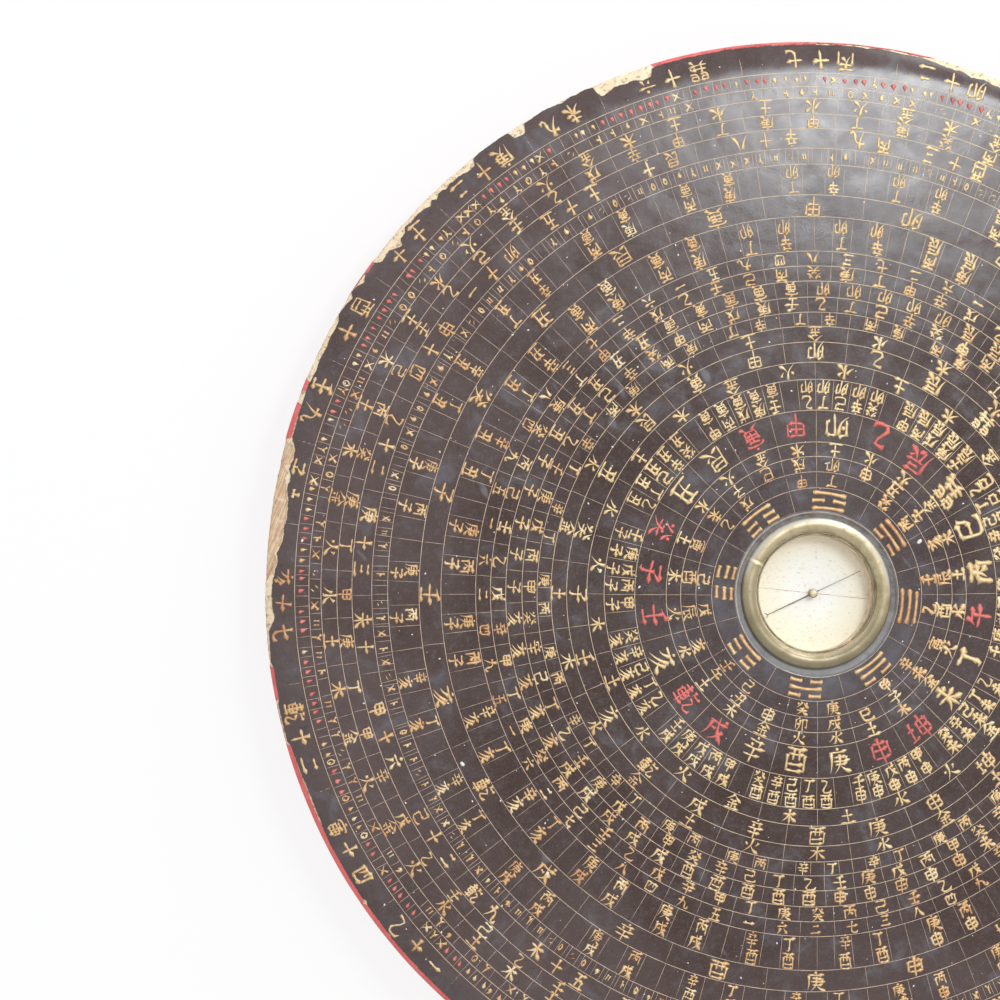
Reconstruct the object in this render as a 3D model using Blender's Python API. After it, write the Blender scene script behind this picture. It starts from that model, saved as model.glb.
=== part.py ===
"""Feng shui compass: a turned and lacquered wooden disc with a small needle compass let into it.

The disc lies on its foot with the painted face up. The origin is on the table, under the point
that the needle turns on. +Z is up, and every size is in metres.
"""
import math
import random

import bmesh
import bpy
from mathutils import Matrix

# Whole disc
DISC_RADIUS = 0.161             # outside of the red lacquer on the side
FACE_HEIGHT = 0.024             # finished face above the table, at the centre
FACE_DROP = 0.0040              # fall of the gently domed face out to its last incised circle
PLAIN_RIM_WIDTH = 0.0077        # rim outside that circle, out to the edge of the wood
ROLL_DROP = 0.0019              # further fall of the plain rim, which rolls over
SIDE_HEIGHT = 0.0080            # upright part of the side
FOOT_RADIUS = 0.104
FOOT_HEIGHT = 0.0012            # how far the turned foot stands below the hollowed underside
UNDERSIDE_POWER_SHARE = 2.2     # how steeply the underside sweeps up towards the side

# Coats on the wood
GROUND_THICKNESS = 0.0007       # cream chalk ground on the face
LACQUER_THICKNESS = 0.0006      # black on the face, red on the side and underneath
CLEARANCE = 0.0003              # gap kept between pieces that rest on each other

# Countersunk seat that is turned into the face round the compass
COUNTERSINK_DEPTH = 0.0016
COUNTERSINK_SLOPE = 0.0022      # width of its sloping wall, seen from above
BEZEL_SEAT_MARGIN = 0.0004      # flat floor left free outside the bezel

# Brass bezel
BEZEL_BORE_RADIUS = 0.0178
BEZEL_WIDTH = 0.0038            # across the half-round section
BEZEL_SKIRT = 0.0008            # straight wall under the half-round crown
BEZEL_CROWN = 0.0018            # height of the half-round crown
SEAM_ANGLE = math.radians(152.8)
SEAM_WIDTH = 0.0005             # scraped groove where the ring was soldered shut
SEAM_DEPTH = 0.0003

# Glass and the sprung ring that keeps it in
GLASS_THICKNESS = 0.0014
GLASS_LEDGE = 0.0008            # width of the ledge that the glass lies on
SPLIT_RING_WIDTH = 0.0008
SPLIT_RING_HEIGHT = 0.0006
SPLIT_RING_GAP = 0.0007         # opening between the ring's two ends
SPLIT_RING_GAP_ANGLE = math.radians(-54.2)

# Brass cup that holds the dial
CUP_RIM_WALL = 0.0008           # wall beside the glass
CUP_FLOOR = 0.0008
DIAL_DEPTH = 0.0041             # from the underside of the glass to the paper
DIAL_THICKNESS = 0.0004
BEDDING_THICKNESS = 0.0010      # putty under the cup

# Pivot, needle and needle cap
PIN_RADIUS = 0.0005             # shank, through the dial and the cup's floor
PIN_COLLAR_RADIUS = 0.0012
PIN_COLLAR_HEIGHT = 0.0006
PIN_SPIKE_RADIUS = 0.00035      # at the foot of the spike
PIN_POINT_RADIUS = 0.00008      # blunted point
NEEDLE_TIP_GAP = 0.0012         # from the needle's ends to the edge of the dial
NEEDLE_THICKNESS = 0.00025
NEEDLE_ROOT_WIDTH = 0.00075
NEEDLE_TIP_WIDTH = 0.00032
NEEDLE_EYE_WALL = 0.0005        # ring of steel round the cap's neck
NEEDLE_HEIGHT = 0.0020          # from the paper to the needle's underside
NEEDLE_ANGLE = math.radians(24.8)
FORK_LENGTH = 0.0014            # each prong of the forked tail
FORK_ANGLE = math.radians(52.0)
CAP_HEAD_RADIUS = 0.00115
CAP_HEAD_HEIGHT = 0.0008
CAP_NECK_RADIUS = 0.0006
CAP_NECK_DROP = 0.0003          # how far the neck reaches below the needle
CAP_SOCKET_RADIUS = 0.0004      # mouth of the cone that rides on the pin
CAP_SOCKET_DEPTH = 0.0012

# Chips in the lacquer at the edge: first and last angle in degrees, and depth as a share of the
# plain rim's width. The first table bares the cream ground, and the second the wood.
GROUND_CHIP_SHARES = (
    (107.4, 114.0, 0.43),
    (114.0, 122.2, 0.12),
    (122.2, 124.0, 0.30),
    (128.6, 136.0, 0.23),
    (136.0, 143.2, 0.32),
    (144.8, 149.0, 0.13),
    (150.5, 157.2, 0.23),
    (178.5, 187.5, 0.19),
    (191.0, 195.0, 0.13),
)
WOOD_CHIP_SHARES = ((163.6, 178.5, 0.46),)
CHIP_STEP_ANGLE = 1.1           # degrees between the corners of a ragged edge
CHIP_RAGGED_SHARE = 0.45        # how much of a chip's depth comes and goes along it
RED_CHIP_DEPTH = 0.0012         # how far down the side the red lacquer is missing at a chip
WOOD_CHIP_STEP = 0.0010         # ledge of ground left round the bared wood
CUT_OVERRUN = 0.0020            # how far a cutter reaches past what it cuts

# Fineness of the round shapes
DISC_STEPS = 72
COMPASS_STEPS = 44
PIN_STEPS = 16
CROWN_STEPS = 8
LIP_STEPS = 2
DOME_RINGS = 3
ROLL_RINGS = 3
UNDERSIDE_RINGS = 4
EYE_STEPS = 7
MERGE_DISTANCE = 0.000001
SMOOTH_ANGLE = math.radians(32.0)

# Sizes and heights that follow from those above
WOOD_RADIUS = DISC_RADIUS - LACQUER_THICKNESS - CLEARANCE
LAST_CIRCLE_RADIUS = WOOD_RADIUS - PLAIN_RIM_WIDTH
COAT_DEPTH = LACQUER_THICKNESS + CLEARANCE + GROUND_THICKNESS + CLEARANCE
BEZEL_RADIUS = BEZEL_BORE_RADIUS + BEZEL_WIDTH
COUNTERSINK_FLOOR_RADIUS = BEZEL_RADIUS + BEZEL_SEAT_MARGIN
COUNTERSINK_RADIUS = COUNTERSINK_FLOOR_RADIUS + COUNTERSINK_SLOPE
CUP_REBATE_RADIUS = BEZEL_BORE_RADIUS
CUP_RADIUS = CUP_REBATE_RADIUS + CUP_RIM_WALL
CUP_BORE_RADIUS = CUP_REBATE_RADIUS - GLASS_LEDGE
POCKET_RADIUS = CUP_RADIUS + CLEARANCE
GLASS_RADIUS = CUP_REBATE_RADIUS - CLEARANCE
DIAL_RADIUS = CUP_BORE_RADIUS - CLEARANCE
NEEDLE_REACH = DIAL_RADIUS - NEEDLE_TIP_GAP
PIN_HOLE_RADIUS = PIN_RADIUS + CLEARANCE
BEZEL_BASE = FACE_HEIGHT - COUNTERSINK_DEPTH + CLEARANCE
CUP_TOP = BEZEL_BASE - CLEARANCE
GLASS_TOP = CUP_TOP + CLEARANCE / 2
GLASS_BASE = GLASS_TOP - GLASS_THICKNESS
LEDGE_HEIGHT = GLASS_BASE - CLEARANCE
SPLIT_RING_BASE = GLASS_TOP + CLEARANCE
DIAL_TOP = GLASS_BASE - DIAL_DEPTH
DIAL_BASE = DIAL_TOP - DIAL_THICKNESS
CUP_FLOOR_TOP = DIAL_BASE - CLEARANCE
CUP_BASE = CUP_FLOOR_TOP - CUP_FLOOR
BEDDING_BASE = CUP_BASE - CLEARANCE - BEDDING_THICKNESS
POCKET_FLOOR = BEDDING_BASE - CLEARANCE
NEEDLE_BASE = DIAL_TOP + NEEDLE_HEIGHT
CAP_BASE = NEEDLE_BASE - CAP_NECK_DROP
CAP_HEAD_BASE = NEEDLE_BASE + NEEDLE_THICKNESS + CLEARANCE
PIN_POINT = CAP_BASE + CAP_SOCKET_DEPTH - CLEARANCE


def dome_height(radius):
    """Height of the finished face outside the countersink."""
    height = FACE_HEIGHT - FACE_DROP * (radius / LAST_CIRCLE_RADIUS) ** 2
    if radius > LAST_CIRCLE_RADIUS:
        height -= ROLL_DROP * ((radius - LAST_CIRCLE_RADIUS) / PLAIN_RIM_WIDTH) ** 2
    return height


def face_outline(depth):
    """Section of the face from the pocket out to the edge, this far below the finished surface."""
    floor = FACE_HEIGHT - COUNTERSINK_DEPTH
    points = [(POCKET_RADIUS, floor - depth), (COUNTERSINK_FLOOR_RADIUS, floor - depth)]
    for ring in range(DOME_RINGS + 1):
        share = ring / DOME_RINGS
        radius = COUNTERSINK_RADIUS + (LAST_CIRCLE_RADIUS - COUNTERSINK_RADIUS) * share
        points.append((radius, dome_height(radius) - depth))
    for ring in range(1, ROLL_RINGS + 1):
        radius = LAST_CIRCLE_RADIUS + PLAIN_RIM_WIDTH * ring / ROLL_RINGS
        points.append((radius, dome_height(radius) - depth))
    return points


def side_outline():
    """Outside of the red lacquer: down the side, in along the underside and across the foot."""
    top = dome_height(WOOD_RADIUS)
    side_base = top - SIDE_HEIGHT
    points = [(DISC_RADIUS, top - LACQUER_THICKNESS)]
    for ring in range(UNDERSIDE_RINGS, -1, -1):
        share = ring / UNDERSIDE_RINGS
        radius = FOOT_RADIUS + (DISC_RADIUS - FOOT_RADIUS) * share
        sweep = share ** UNDERSIDE_POWER_SHARE
        points.append((radius, FOOT_HEIGHT + (side_base - FOOT_HEIGHT) * sweep))
    points.append((FOOT_RADIUS, 0.0))
    points.append((0.0, 0.0))
    return points


def inset_outline(points, distance):
    """The same outline moved inwards, square to its own runs, with mitred corners."""
    normals = []
    for (x0, z0), (x1, z1) in zip(points, points[1:]):
        length = math.hypot(x1 - x0, z1 - z0)
        normals.append(((z1 - z0) / length, (x0 - x1) / length))
    inset = []
    for index, (x, z) in enumerate(points):
        before = normals[max(index - 1, 0)]
        after = normals[min(index, len(normals) - 1)]
        spread = 1.0 + before[0] * after[0] + before[1] * after[1]
        shift_x = (before[0] + after[0]) / spread
        shift_z = (before[1] + after[1]) / spread
        inset.append((x + distance * shift_x, z + distance * shift_z))
    return inset


def lacquer_lip(top):
    """Rounded upper edge of the red lacquer, from its inner corner over to the side."""
    centre = DISC_RADIUS - LACQUER_THICKNESS
    points = []
    for step in range(LIP_STEPS):
        angle = math.pi / 2 * step / LIP_STEPS
        points.append((centre + LACQUER_THICKNESS * math.sin(angle),
                       top - LACQUER_THICKNESS + LACQUER_THICKNESS * math.cos(angle)))
    return points


def make_material(name, colour, roughness, metallic=0.0, alpha=1.0):
    """One Principled material, with its colour in linear values."""
    material = bpy.data.materials.new(name)
    material.use_nodes = True
    shader = material.node_tree.nodes["Principled BSDF"]
    shader.inputs["Base Color"].default_value = (*colour, 1.0)
    shader.inputs["Roughness"].default_value = roughness
    shader.inputs["Metallic"].default_value = metallic
    shader.inputs["Alpha"].default_value = alpha
    return material


def make_object(name, bm, material, base=0.0, parent=None):
    """Turn a bmesh into a smooth-shaded object that stands at a height above the table."""
    bmesh.ops.remove_doubles(bm, verts=bm.verts, dist=MERGE_DISTANCE)
    bmesh.ops.recalc_face_normals(bm, faces=bm.faces)
    mesh = bpy.data.meshes.new(name)
    bm.to_mesh(mesh)
    bm.free()
    mesh.shade_smooth()
    mesh.set_sharp_from_angle(angle=SMOOTH_ANGLE)
    mesh.materials.append(material)
    body = bpy.data.objects.new(name, mesh)
    body.location.z = base
    body.parent = parent
    bpy.context.scene.collection.objects.link(body)
    return body


def turned(name, outline, steps, material, base=0.0, parent=None):
    """Spin a section round the Z axis. A section off the axis is closed into a ring."""
    bm = bmesh.new()
    verts = [bm.verts.new((x, 0.0, z)) for x, z in outline]
    edges = [bm.edges.new(pair) for pair in zip(verts, verts[1:])]
    if outline[0][0] > 0.0 and outline[-1][0] > 0.0:
        edges.append(bm.edges.new((verts[-1], verts[0])))
    bmesh.ops.spin(bm, geom=verts + edges, cent=(0.0, 0.0, 0.0), axis=(0.0, 0.0, 1.0),
                   angle=math.tau, steps=steps, use_merge=True)
    return make_object(name, bm, material, base, parent)


def washer_outline(inner, outer, low, high):
    """Section of a plain flat ring."""
    return [(inner, high), (outer, high), (outer, low), (inner, low)]


def add_prism(bm, outline, low, high):
    """Raise a flat outline into a prism between two heights."""
    face = bm.faces.new([bm.verts.new((x, y, low)) for x, y in outline])
    raised = bmesh.ops.extrude_face_region(bm, geom=[face])
    tops = [item for item in raised["geom"] if isinstance(item, bmesh.types.BMVert)]
    bmesh.ops.translate(bm, verts=tops, vec=(0.0, 0.0, high - low))


def make_cutter(name, bm):
    """Guide object for a Boolean, left out of the model itself."""
    bmesh.ops.recalc_face_normals(bm, faces=bm.faces)
    mesh = bpy.data.meshes.new(name)
    bm.to_mesh(mesh)
    bm.free()
    cutter = bpy.data.objects.new(name, mesh)
    cutter.hide_render = True
    cutter.display_type = "WIRE"
    bpy.context.scene.collection.objects.link(cutter)
    return cutter


def cut(body, cutter):
    """Take a cutter's volume away from a body."""
    modifier = body.modifiers.new(cutter.name, "BOOLEAN")
    modifier.operation = "DIFFERENCE"
    modifier.solver = "EXACT"
    modifier.object = cutter


def polar(radius, angle):
    """Point of the XY plane at a radius and an angle."""
    return radius * math.cos(angle), radius * math.sin(angle)


def chip_outline(first, last, depth, seed):
    """Plan of one chip: a ragged inner line, closed off outside the disc."""
    rng = random.Random(seed)
    count = max(3, round((last - first) / CHIP_STEP_ANGLE))
    outside = DISC_RADIUS + CUT_OVERRUN
    points = []
    for step in range(count + 1):
        angle = math.radians(first + (last - first) * step / count)
        at_an_end = step in (0, count)
        ragged = 0.0 if at_an_end else 1.0 - CHIP_RAGGED_SHARE * rng.random()
        points.append(polar(WOOD_RADIUS - depth * ragged, angle))
    for step in range(count, -1, -1):
        points.append(polar(outside, math.radians(first + (last - first) * step / count)))
    return points


def chip_cutter(name, chips, low, high, margin=0.0):
    """All chips of some tables as prisms in one cutter. The margin draws their inner line out."""
    bm = bmesh.new()
    for seed, (first, last, depth_share) in enumerate(chips):
        outline = chip_outline(first, last, PLAIN_RIM_WIDTH * depth_share - margin, seed)
        add_prism(bm, outline, low, high)
    return make_cutter(name, bm)


def merged_chips():
    """Neighbouring chips drawn a hair apart, so that no two prisms share a wall."""
    chips = sorted(GROUND_CHIP_SHARES + WOOD_CHIP_SHARES)
    gap = CHIP_STEP_ANGLE / 20
    return [(first + gap, last - gap, depth_share) for first, last, depth_share in chips]


def box_cutter(name, radius, angle, length, width, low, high):
    """Thin block lying along a radius of the disc."""
    bm = bmesh.new()
    half_length = length / 2
    half_width = width / 2
    add_prism(bm, [(radius - half_length, -half_width), (radius + half_length, -half_width),
                   (radius + half_length, half_width), (radius - half_length, half_width)],
              low, high)
    bmesh.ops.rotate(bm, verts=bm.verts, cent=(0.0, 0.0, 0.0),
                     matrix=Matrix.Rotation(angle, 3, "Z"))
    return make_cutter(name, bm)


def make_disc():
    """Wooden disc, its chalk ground, and the black and red lacquer."""
    wood = make_material("turned_wood", (0.40, 0.24, 0.12), 0.62)
    chalk = make_material("chalk_ground", (0.80, 0.68, 0.40), 0.85)
    black = make_material("black_lacquer", (0.036, 0.030, 0.032), 0.30)
    red = make_material("red_lacquer", (0.62, 0.06, 0.08), 0.40)

    outside = side_outline()
    below_lacquer = inset_outline(outside, LACQUER_THICKNESS)
    below_lacquer[0] = (below_lacquer[0][0], dome_height(WOOD_RADIUS))
    wood_side = inset_outline(outside, LACQUER_THICKNESS + CLEARANCE)
    pocket = [(0.0, POCKET_FLOOR), (POCKET_RADIUS, POCKET_FLOOR)]
    turned("wood_disc", pocket + face_outline(COAT_DEPTH) + wood_side[1:], DISC_STEPS, wood)

    ground_depth = LACQUER_THICKNESS + CLEARANCE
    ground_section = face_outline(ground_depth)
    ground_section += reversed(face_outline(ground_depth + GROUND_THICKNESS))
    ground = turned("ground_coat", ground_section, DISC_STEPS, chalk)

    face_section = face_outline(0.0) + list(reversed(face_outline(LACQUER_THICKNESS)))
    face = turned("face_lacquer", face_section, DISC_STEPS, black)

    arris = dome_height(WOOD_RADIUS)
    rim_section = below_lacquer[::-1] + lacquer_lip(arris)[1:] + outside
    rim = turned("rim_lacquer", rim_section, DISC_STEPS, red)

    low = arris - ROLL_DROP - CUT_OVERRUN
    high = FACE_HEIGHT + CUT_OVERRUN
    chips = merged_chips()
    cut(face, chip_cutter("face_chip_cutter", chips, low, high))
    cut(ground, chip_cutter("ground_chip_cutter", WOOD_CHIP_SHARES, low, high, WOOD_CHIP_STEP))
    cut(rim, chip_cutter("rim_chip_cutter", chips, arris - RED_CHIP_DEPTH, high))


def make_bezel(brass):
    """Half-round brass ring on the countersunk seat, with its soldered seam."""
    middle = BEZEL_BORE_RADIUS + BEZEL_WIDTH / 2
    section = []
    for step in range(CROWN_STEPS + 1):
        angle = math.pi * step / CROWN_STEPS
        section.append((middle - BEZEL_WIDTH / 2 * math.cos(angle),
                        BEZEL_SKIRT + BEZEL_CROWN * math.sin(angle)))
    section += [(BEZEL_RADIUS, 0.0), (BEZEL_BORE_RADIUS, 0.0)]
    bezel = turned("bezel_ring", section, COMPASS_STEPS, brass, BEZEL_BASE)
    top = BEZEL_BASE + BEZEL_SKIRT + BEZEL_CROWN
    cut(bezel, box_cutter("seam_cutter", middle, SEAM_ANGLE, BEZEL_WIDTH / 2, SEAM_WIDTH,
                          top - SEAM_DEPTH, top + CUT_OVERRUN))


def make_cup(brass, putty):
    """Brass cup with a rebate for the glass, and the putty that it is bedded on."""
    section = [
        (PIN_HOLE_RADIUS, CUP_FLOOR_TOP),
        (CUP_BORE_RADIUS, CUP_FLOOR_TOP),
        (CUP_BORE_RADIUS, LEDGE_HEIGHT),
        (CUP_REBATE_RADIUS, LEDGE_HEIGHT),
        (CUP_REBATE_RADIUS, CUP_TOP),
        (CUP_RADIUS, CUP_TOP),
        (CUP_RADIUS, CUP_BASE),
        (PIN_HOLE_RADIUS, CUP_BASE),
    ]
    turned("compass_cup", section, COMPASS_STEPS, brass)
    turned("cup_bedding", washer_outline(PIN_HOLE_RADIUS, CUP_RADIUS, 0.0, BEDDING_THICKNESS),
           COMPASS_STEPS, putty, BEDDING_BASE)


def make_glass(clear, brass):
    """Flat glass on the cup's ledge, and the split ring sprung in above it."""
    section = [(0.0, GLASS_THICKNESS), (GLASS_RADIUS, GLASS_THICKNESS), (GLASS_RADIUS, 0.0), (0.0, 0.0)]
    turned("compass_glass", section, COMPASS_STEPS, clear, GLASS_BASE)
    outer = BEZEL_BORE_RADIUS - CLEARANCE / 2
    inner = outer - SPLIT_RING_WIDTH
    ring = turned("split_ring", washer_outline(inner, outer, 0.0, SPLIT_RING_HEIGHT),
                  COMPASS_STEPS, brass, SPLIT_RING_BASE)
    cut(ring, box_cutter("ring_gap_cutter", (inner + outer) / 2, SPLIT_RING_GAP_ANGLE,
                         SPLIT_RING_WIDTH + CUT_OVERRUN, SPLIT_RING_GAP,
                         SPLIT_RING_BASE - CUT_OVERRUN,
                         SPLIT_RING_BASE + SPLIT_RING_HEIGHT + CUT_OVERRUN))


def make_dial(paper, steel):
    """Paper dial, and the pin through it that carries the needle."""
    turned("paper_dial", washer_outline(PIN_HOLE_RADIUS, DIAL_RADIUS, 0.0, DIAL_THICKNESS),
           COMPASS_STEPS, paper, DIAL_BASE)
    collar_base = DIAL_TOP + CLEARANCE
    collar_top = collar_base + PIN_COLLAR_HEIGHT
    section = [
        (0.0, PIN_POINT),
        (PIN_POINT_RADIUS, PIN_POINT),
        (PIN_SPIKE_RADIUS, collar_top),
        (PIN_COLLAR_RADIUS, collar_top),
        (PIN_COLLAR_RADIUS, collar_base),
        (PIN_RADIUS, collar_base),
        (PIN_RADIUS, BEDDING_BASE + CLEARANCE),
        (0.0, BEDDING_BASE + CLEARANCE),
    ]
    turned("pivot_pin", section, PIN_STEPS, steel)


def half_needle(eye_radius):
    """Upper half of the needle's plan, from its head at +X to its forked tail at -X."""
    half_root = NEEDLE_ROOT_WIDTH / 2
    half_tip = NEEDLE_TIP_WIDTH / 2
    lead = math.asin(half_root / eye_radius)
    points = [(NEEDLE_REACH, half_tip)]
    for step in range(EYE_STEPS):
        points.append(polar(eye_radius, lead + (math.pi - 2 * lead) * step / (EYE_STEPS - 1)))
    points.append((-NEEDLE_REACH, half_tip))
    reach_x = FORK_LENGTH * math.cos(FORK_ANGLE)
    reach_y = FORK_LENGTH * math.sin(FORK_ANGLE)
    points.append((-NEEDLE_REACH - reach_x, reach_y + half_tip))
    points.append((-NEEDLE_REACH - reach_x - half_tip, reach_y))
    return points


def make_needle(steel, brass):
    """Steel needle with its eye and forked tail, and the brass cap that rides on the pin."""
    pivot = bpy.data.objects.new("needle_pivot", None)
    pivot.location = (0.0, 0.0, PIN_POINT)
    pivot.rotation_euler.z = NEEDLE_ANGLE
    bpy.context.scene.collection.objects.link(pivot)

    eye_bore = CAP_NECK_RADIUS + CLEARANCE
    upper = half_needle(eye_bore + NEEDLE_EYE_WALL)
    crotch = (-NEEDLE_REACH - NEEDLE_TIP_WIDTH, 0.0)
    lower = [(x, -y) for x, y in reversed(upper)]
    bm = bmesh.new()
    add_prism(bm, upper + [crotch] + lower, 0.0, NEEDLE_THICKNESS)
    needle = make_object("needle", bm, steel, NEEDLE_BASE - PIN_POINT, pivot)

    bm = bmesh.new()
    add_prism(bm, [polar(eye_bore, math.tau * step / PIN_STEPS) for step in range(PIN_STEPS)],
              NEEDLE_BASE - CUT_OVERRUN, NEEDLE_BASE + CUT_OVERRUN)
    cut(needle, make_cutter("eye_cutter", bm))

    head = CAP_HEAD_BASE - CAP_BASE
    head_top = head + CAP_HEAD_HEIGHT
    shoulder = head + CAP_HEAD_HEIGHT / 2
    crown_radius = (CAP_HEAD_RADIUS + CAP_NECK_RADIUS) / 2
    section = [
        (0.0, head_top),
        (crown_radius, head_top),
        (CAP_HEAD_RADIUS, shoulder),
        (CAP_HEAD_RADIUS, head),
        (CAP_NECK_RADIUS, head),
        (CAP_NECK_RADIUS, 0.0),
        (CAP_SOCKET_RADIUS, 0.0),
        (0.0, CAP_SOCKET_DEPTH),
    ]
    turned("needle_cap", section, PIN_STEPS, brass, CAP_BASE - PIN_POINT, pivot)


def main():
    """Clear the scene and model every piece."""
    for item in list(bpy.data.objects):
        bpy.data.objects.remove(item)
    brass = make_material("aged_brass", (0.42, 0.33, 0.14), 0.38, metallic=1.0)
    steel = make_material("blued_steel", (0.12, 0.12, 0.13), 0.35, metallic=1.0)
    paper = make_material("dial_paper", (0.90, 0.84, 0.66), 0.90)
    putty = make_material("bedding_putty", (0.20, 0.13, 0.09), 0.80)
    clear = make_material("clear_glass", (0.95, 0.97, 0.96), 0.03, alpha=0.2)
    make_disc()
    make_cup(brass, putty)
    make_bezel(brass)
    make_glass(clear, brass)
    make_dial(paper, steel)
    make_needle(steel, brass)


main()
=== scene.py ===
"""Looks of the feng shui compass: chipped lacquer skins, incised circles, painted marks, the small
needle compass, and the studio round them. Sizes are in metres unless a name says otherwise.
"""
import math
import random

import bpy
import numpy as np
from mathutils import Matrix, Vector


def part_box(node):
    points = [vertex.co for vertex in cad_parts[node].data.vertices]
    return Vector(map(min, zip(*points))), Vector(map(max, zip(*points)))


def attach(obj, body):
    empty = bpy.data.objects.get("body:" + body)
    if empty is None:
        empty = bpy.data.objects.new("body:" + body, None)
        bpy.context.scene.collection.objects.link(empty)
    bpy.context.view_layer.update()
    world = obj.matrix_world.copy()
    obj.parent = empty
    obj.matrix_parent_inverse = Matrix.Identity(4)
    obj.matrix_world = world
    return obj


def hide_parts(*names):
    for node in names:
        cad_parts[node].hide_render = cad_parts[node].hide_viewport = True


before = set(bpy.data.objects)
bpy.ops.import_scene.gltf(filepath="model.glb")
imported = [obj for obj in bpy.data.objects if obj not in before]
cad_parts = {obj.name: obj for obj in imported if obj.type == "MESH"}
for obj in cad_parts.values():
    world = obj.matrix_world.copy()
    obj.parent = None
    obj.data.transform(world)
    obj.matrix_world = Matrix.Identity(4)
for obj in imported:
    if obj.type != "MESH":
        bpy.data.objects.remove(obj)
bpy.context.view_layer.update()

MM = 0.001

# Disc, as in the solids
FACE_HEIGHT = 24.0 * MM
FACE_DROP = 4.0 * MM
LAST_CIRCLE = 152.4 * MM
RIM_WIDTH = 7.7 * MM
ROLL_DROP = 1.9 * MM
SIDE_BASE = 9.69 * MM
FOOT_RADIUS = 104.0 * MM
FOOT_HEIGHT = 1.2 * MM
UNDERSIDE_POWER = 2.2
SEAT_DEPTH = 1.6 * MM
SEAT_RADIUS = 22.6 * MM
SEAT_OUTER_RADIUS = 23.9 * MM
POCKET_RADIUS = 18.9 * MM
POCKET_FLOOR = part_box("cup_bedding")[0].z - 0.3 * MM
UNDERCUT = math.radians(9.5)    # how far the side leans inwards below the arris

# The board is a little out of round: its edge stands further out at the top of the photograph
EDGE_RADIUS = 160.8 * MM
EDGE_SWING = 0.95 * MM
SWING_ANGLE = 80.0
SEAM_RADIUS = 159.75 * MM       # where the black lacquer meets the red
SEAM_SWING = 0.9 * MM
ARRIS_RADIUS = 1.1 * MM         # rounding of the upper edge
LOWER_ARRIS = 1.5 * MM

# Coats
LACQUER = 0.24 * MM
GROUND = 0.30 * MM
RED_COAT = 0.16 * MM

# Angles of the skins' grid, in degrees: close steps where the photograph shows the edge
FINE_FIRST = 60.0
FINE_LAST = 232.0
FINE_STEP = 0.12
COARSE_STEP = 0.5

# How far the lacquer's ragged edge lies inside its seam with the red, as angle and millimetres
LACQUER_EDGE = (
    (60.0, 0.0), (62.0, 0.9), (64.5, 1.6), (67.0, 1.1), (69.0, 1.7), (71.0, 1.0), (72.4, 1.5), (73.6, 0.6),
    (75.0, 0.9), (76.5, 0.2), (78.0, -0.3), (80.0, -0.1), (82.0, -0.4), (84.0, -0.2), (86.0, -0.4),
    (88.5, -0.2), (89.5, -0.3), (94.0, -0.5), (100.0, -0.4), (105.0, -0.3), (106.6, -0.1), (107.1, 0.1),
    (107.4, 2.2), (108.3, 2.7), (109.5, 1.8), (110.6, 2.0), (111.6, 1.8), (112.5, 2.7), (113.2, 3.0),
    (113.5, 1.9), (113.6, -0.4), (114.5, -1.1), (115.4, -0.5), (116.2, -1.0), (117.2, -0.2), (118.4, -0.8),
    (119.7, -1.1), (120.9, -0.5), (121.8, -0.5), (122.2, 1.9), (122.9, 2.0), (123.5, 1.8), (123.7, -0.2),
    (124.0, -1.1), (127.1, -1.1), (128.2, -0.8), (128.6, 1.2), (129.2, 1.5), (130.7, 0.6), (131.3, 0.8),
    (131.9, 0.4), (132.6, 0.9), (132.9, 0.3), (133.4, 0.4), (134.0, 1.1), (134.4, 0.3), (135.0, 1.4),
    (135.6, 0.6), (136.5, 0.2), (137.5, 0.4), (138.4, -0.1), (138.8, 1.1), (139.6, 1.2), (140.1, 2.8),
    (140.6, 2.1), (141.3, 1.0), (141.9, 0.8), (142.6, 1.3), (143.0, 0.8), (143.3, -0.5), (144.7, -0.6),
    (145.2, 0.0), (145.6, 0.6), (146.3, -0.7), (147.2, -0.9), (147.6, 0.2), (148.5, -0.5), (149.8, -0.9),
    (150.4, 0.1), (151.2, 0.4), (152.3, 0.1), (153.4, 0.5), (154.6, 0.2), (156.0, 0.5), (157.2, 0.3),
    (157.6, 0.1), (158.6, 0.2), (159.2, 0.4), (159.9, 0.3), (161.2, 0.4), (163.2, 0.6), (163.8, 0.8),
    (164.4, 1.9), (164.8, 2.3), (165.6, 2.4), (166.3, 2.0), (166.8, 1.9), (167.2, 2.6), (167.9, 2.9),
    (168.3, 2.2), (168.9, 2.5), (169.8, 3.1), (170.8, 3.5), (171.8, 3.7), (172.7, 3.2), (173.6, 3.4),
    (174.7, 3.1), (175.6, 2.0), (176.7, 2.3), (177.5, 1.7), (178.2, 1.3), (180.1, 0.8), (181.6, 1.2),
    (182.7, 1.5), (183.8, -0.3), (185.3, -0.4), (186.8, -0.7), (187.5, -0.1), (190.9, 0.0), (191.6, -0.5),
    (195.4, -0.5), (195.9, 0.2), (200.7, 0.6), (203.7, 0.6), (206.3, 0.2), (213.6, 0.3), (213.9, 0.7),
    (214.3, 0.3), (225.0, 0.3), (240.0, 0.2), (250.0, 0.0),
)
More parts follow.
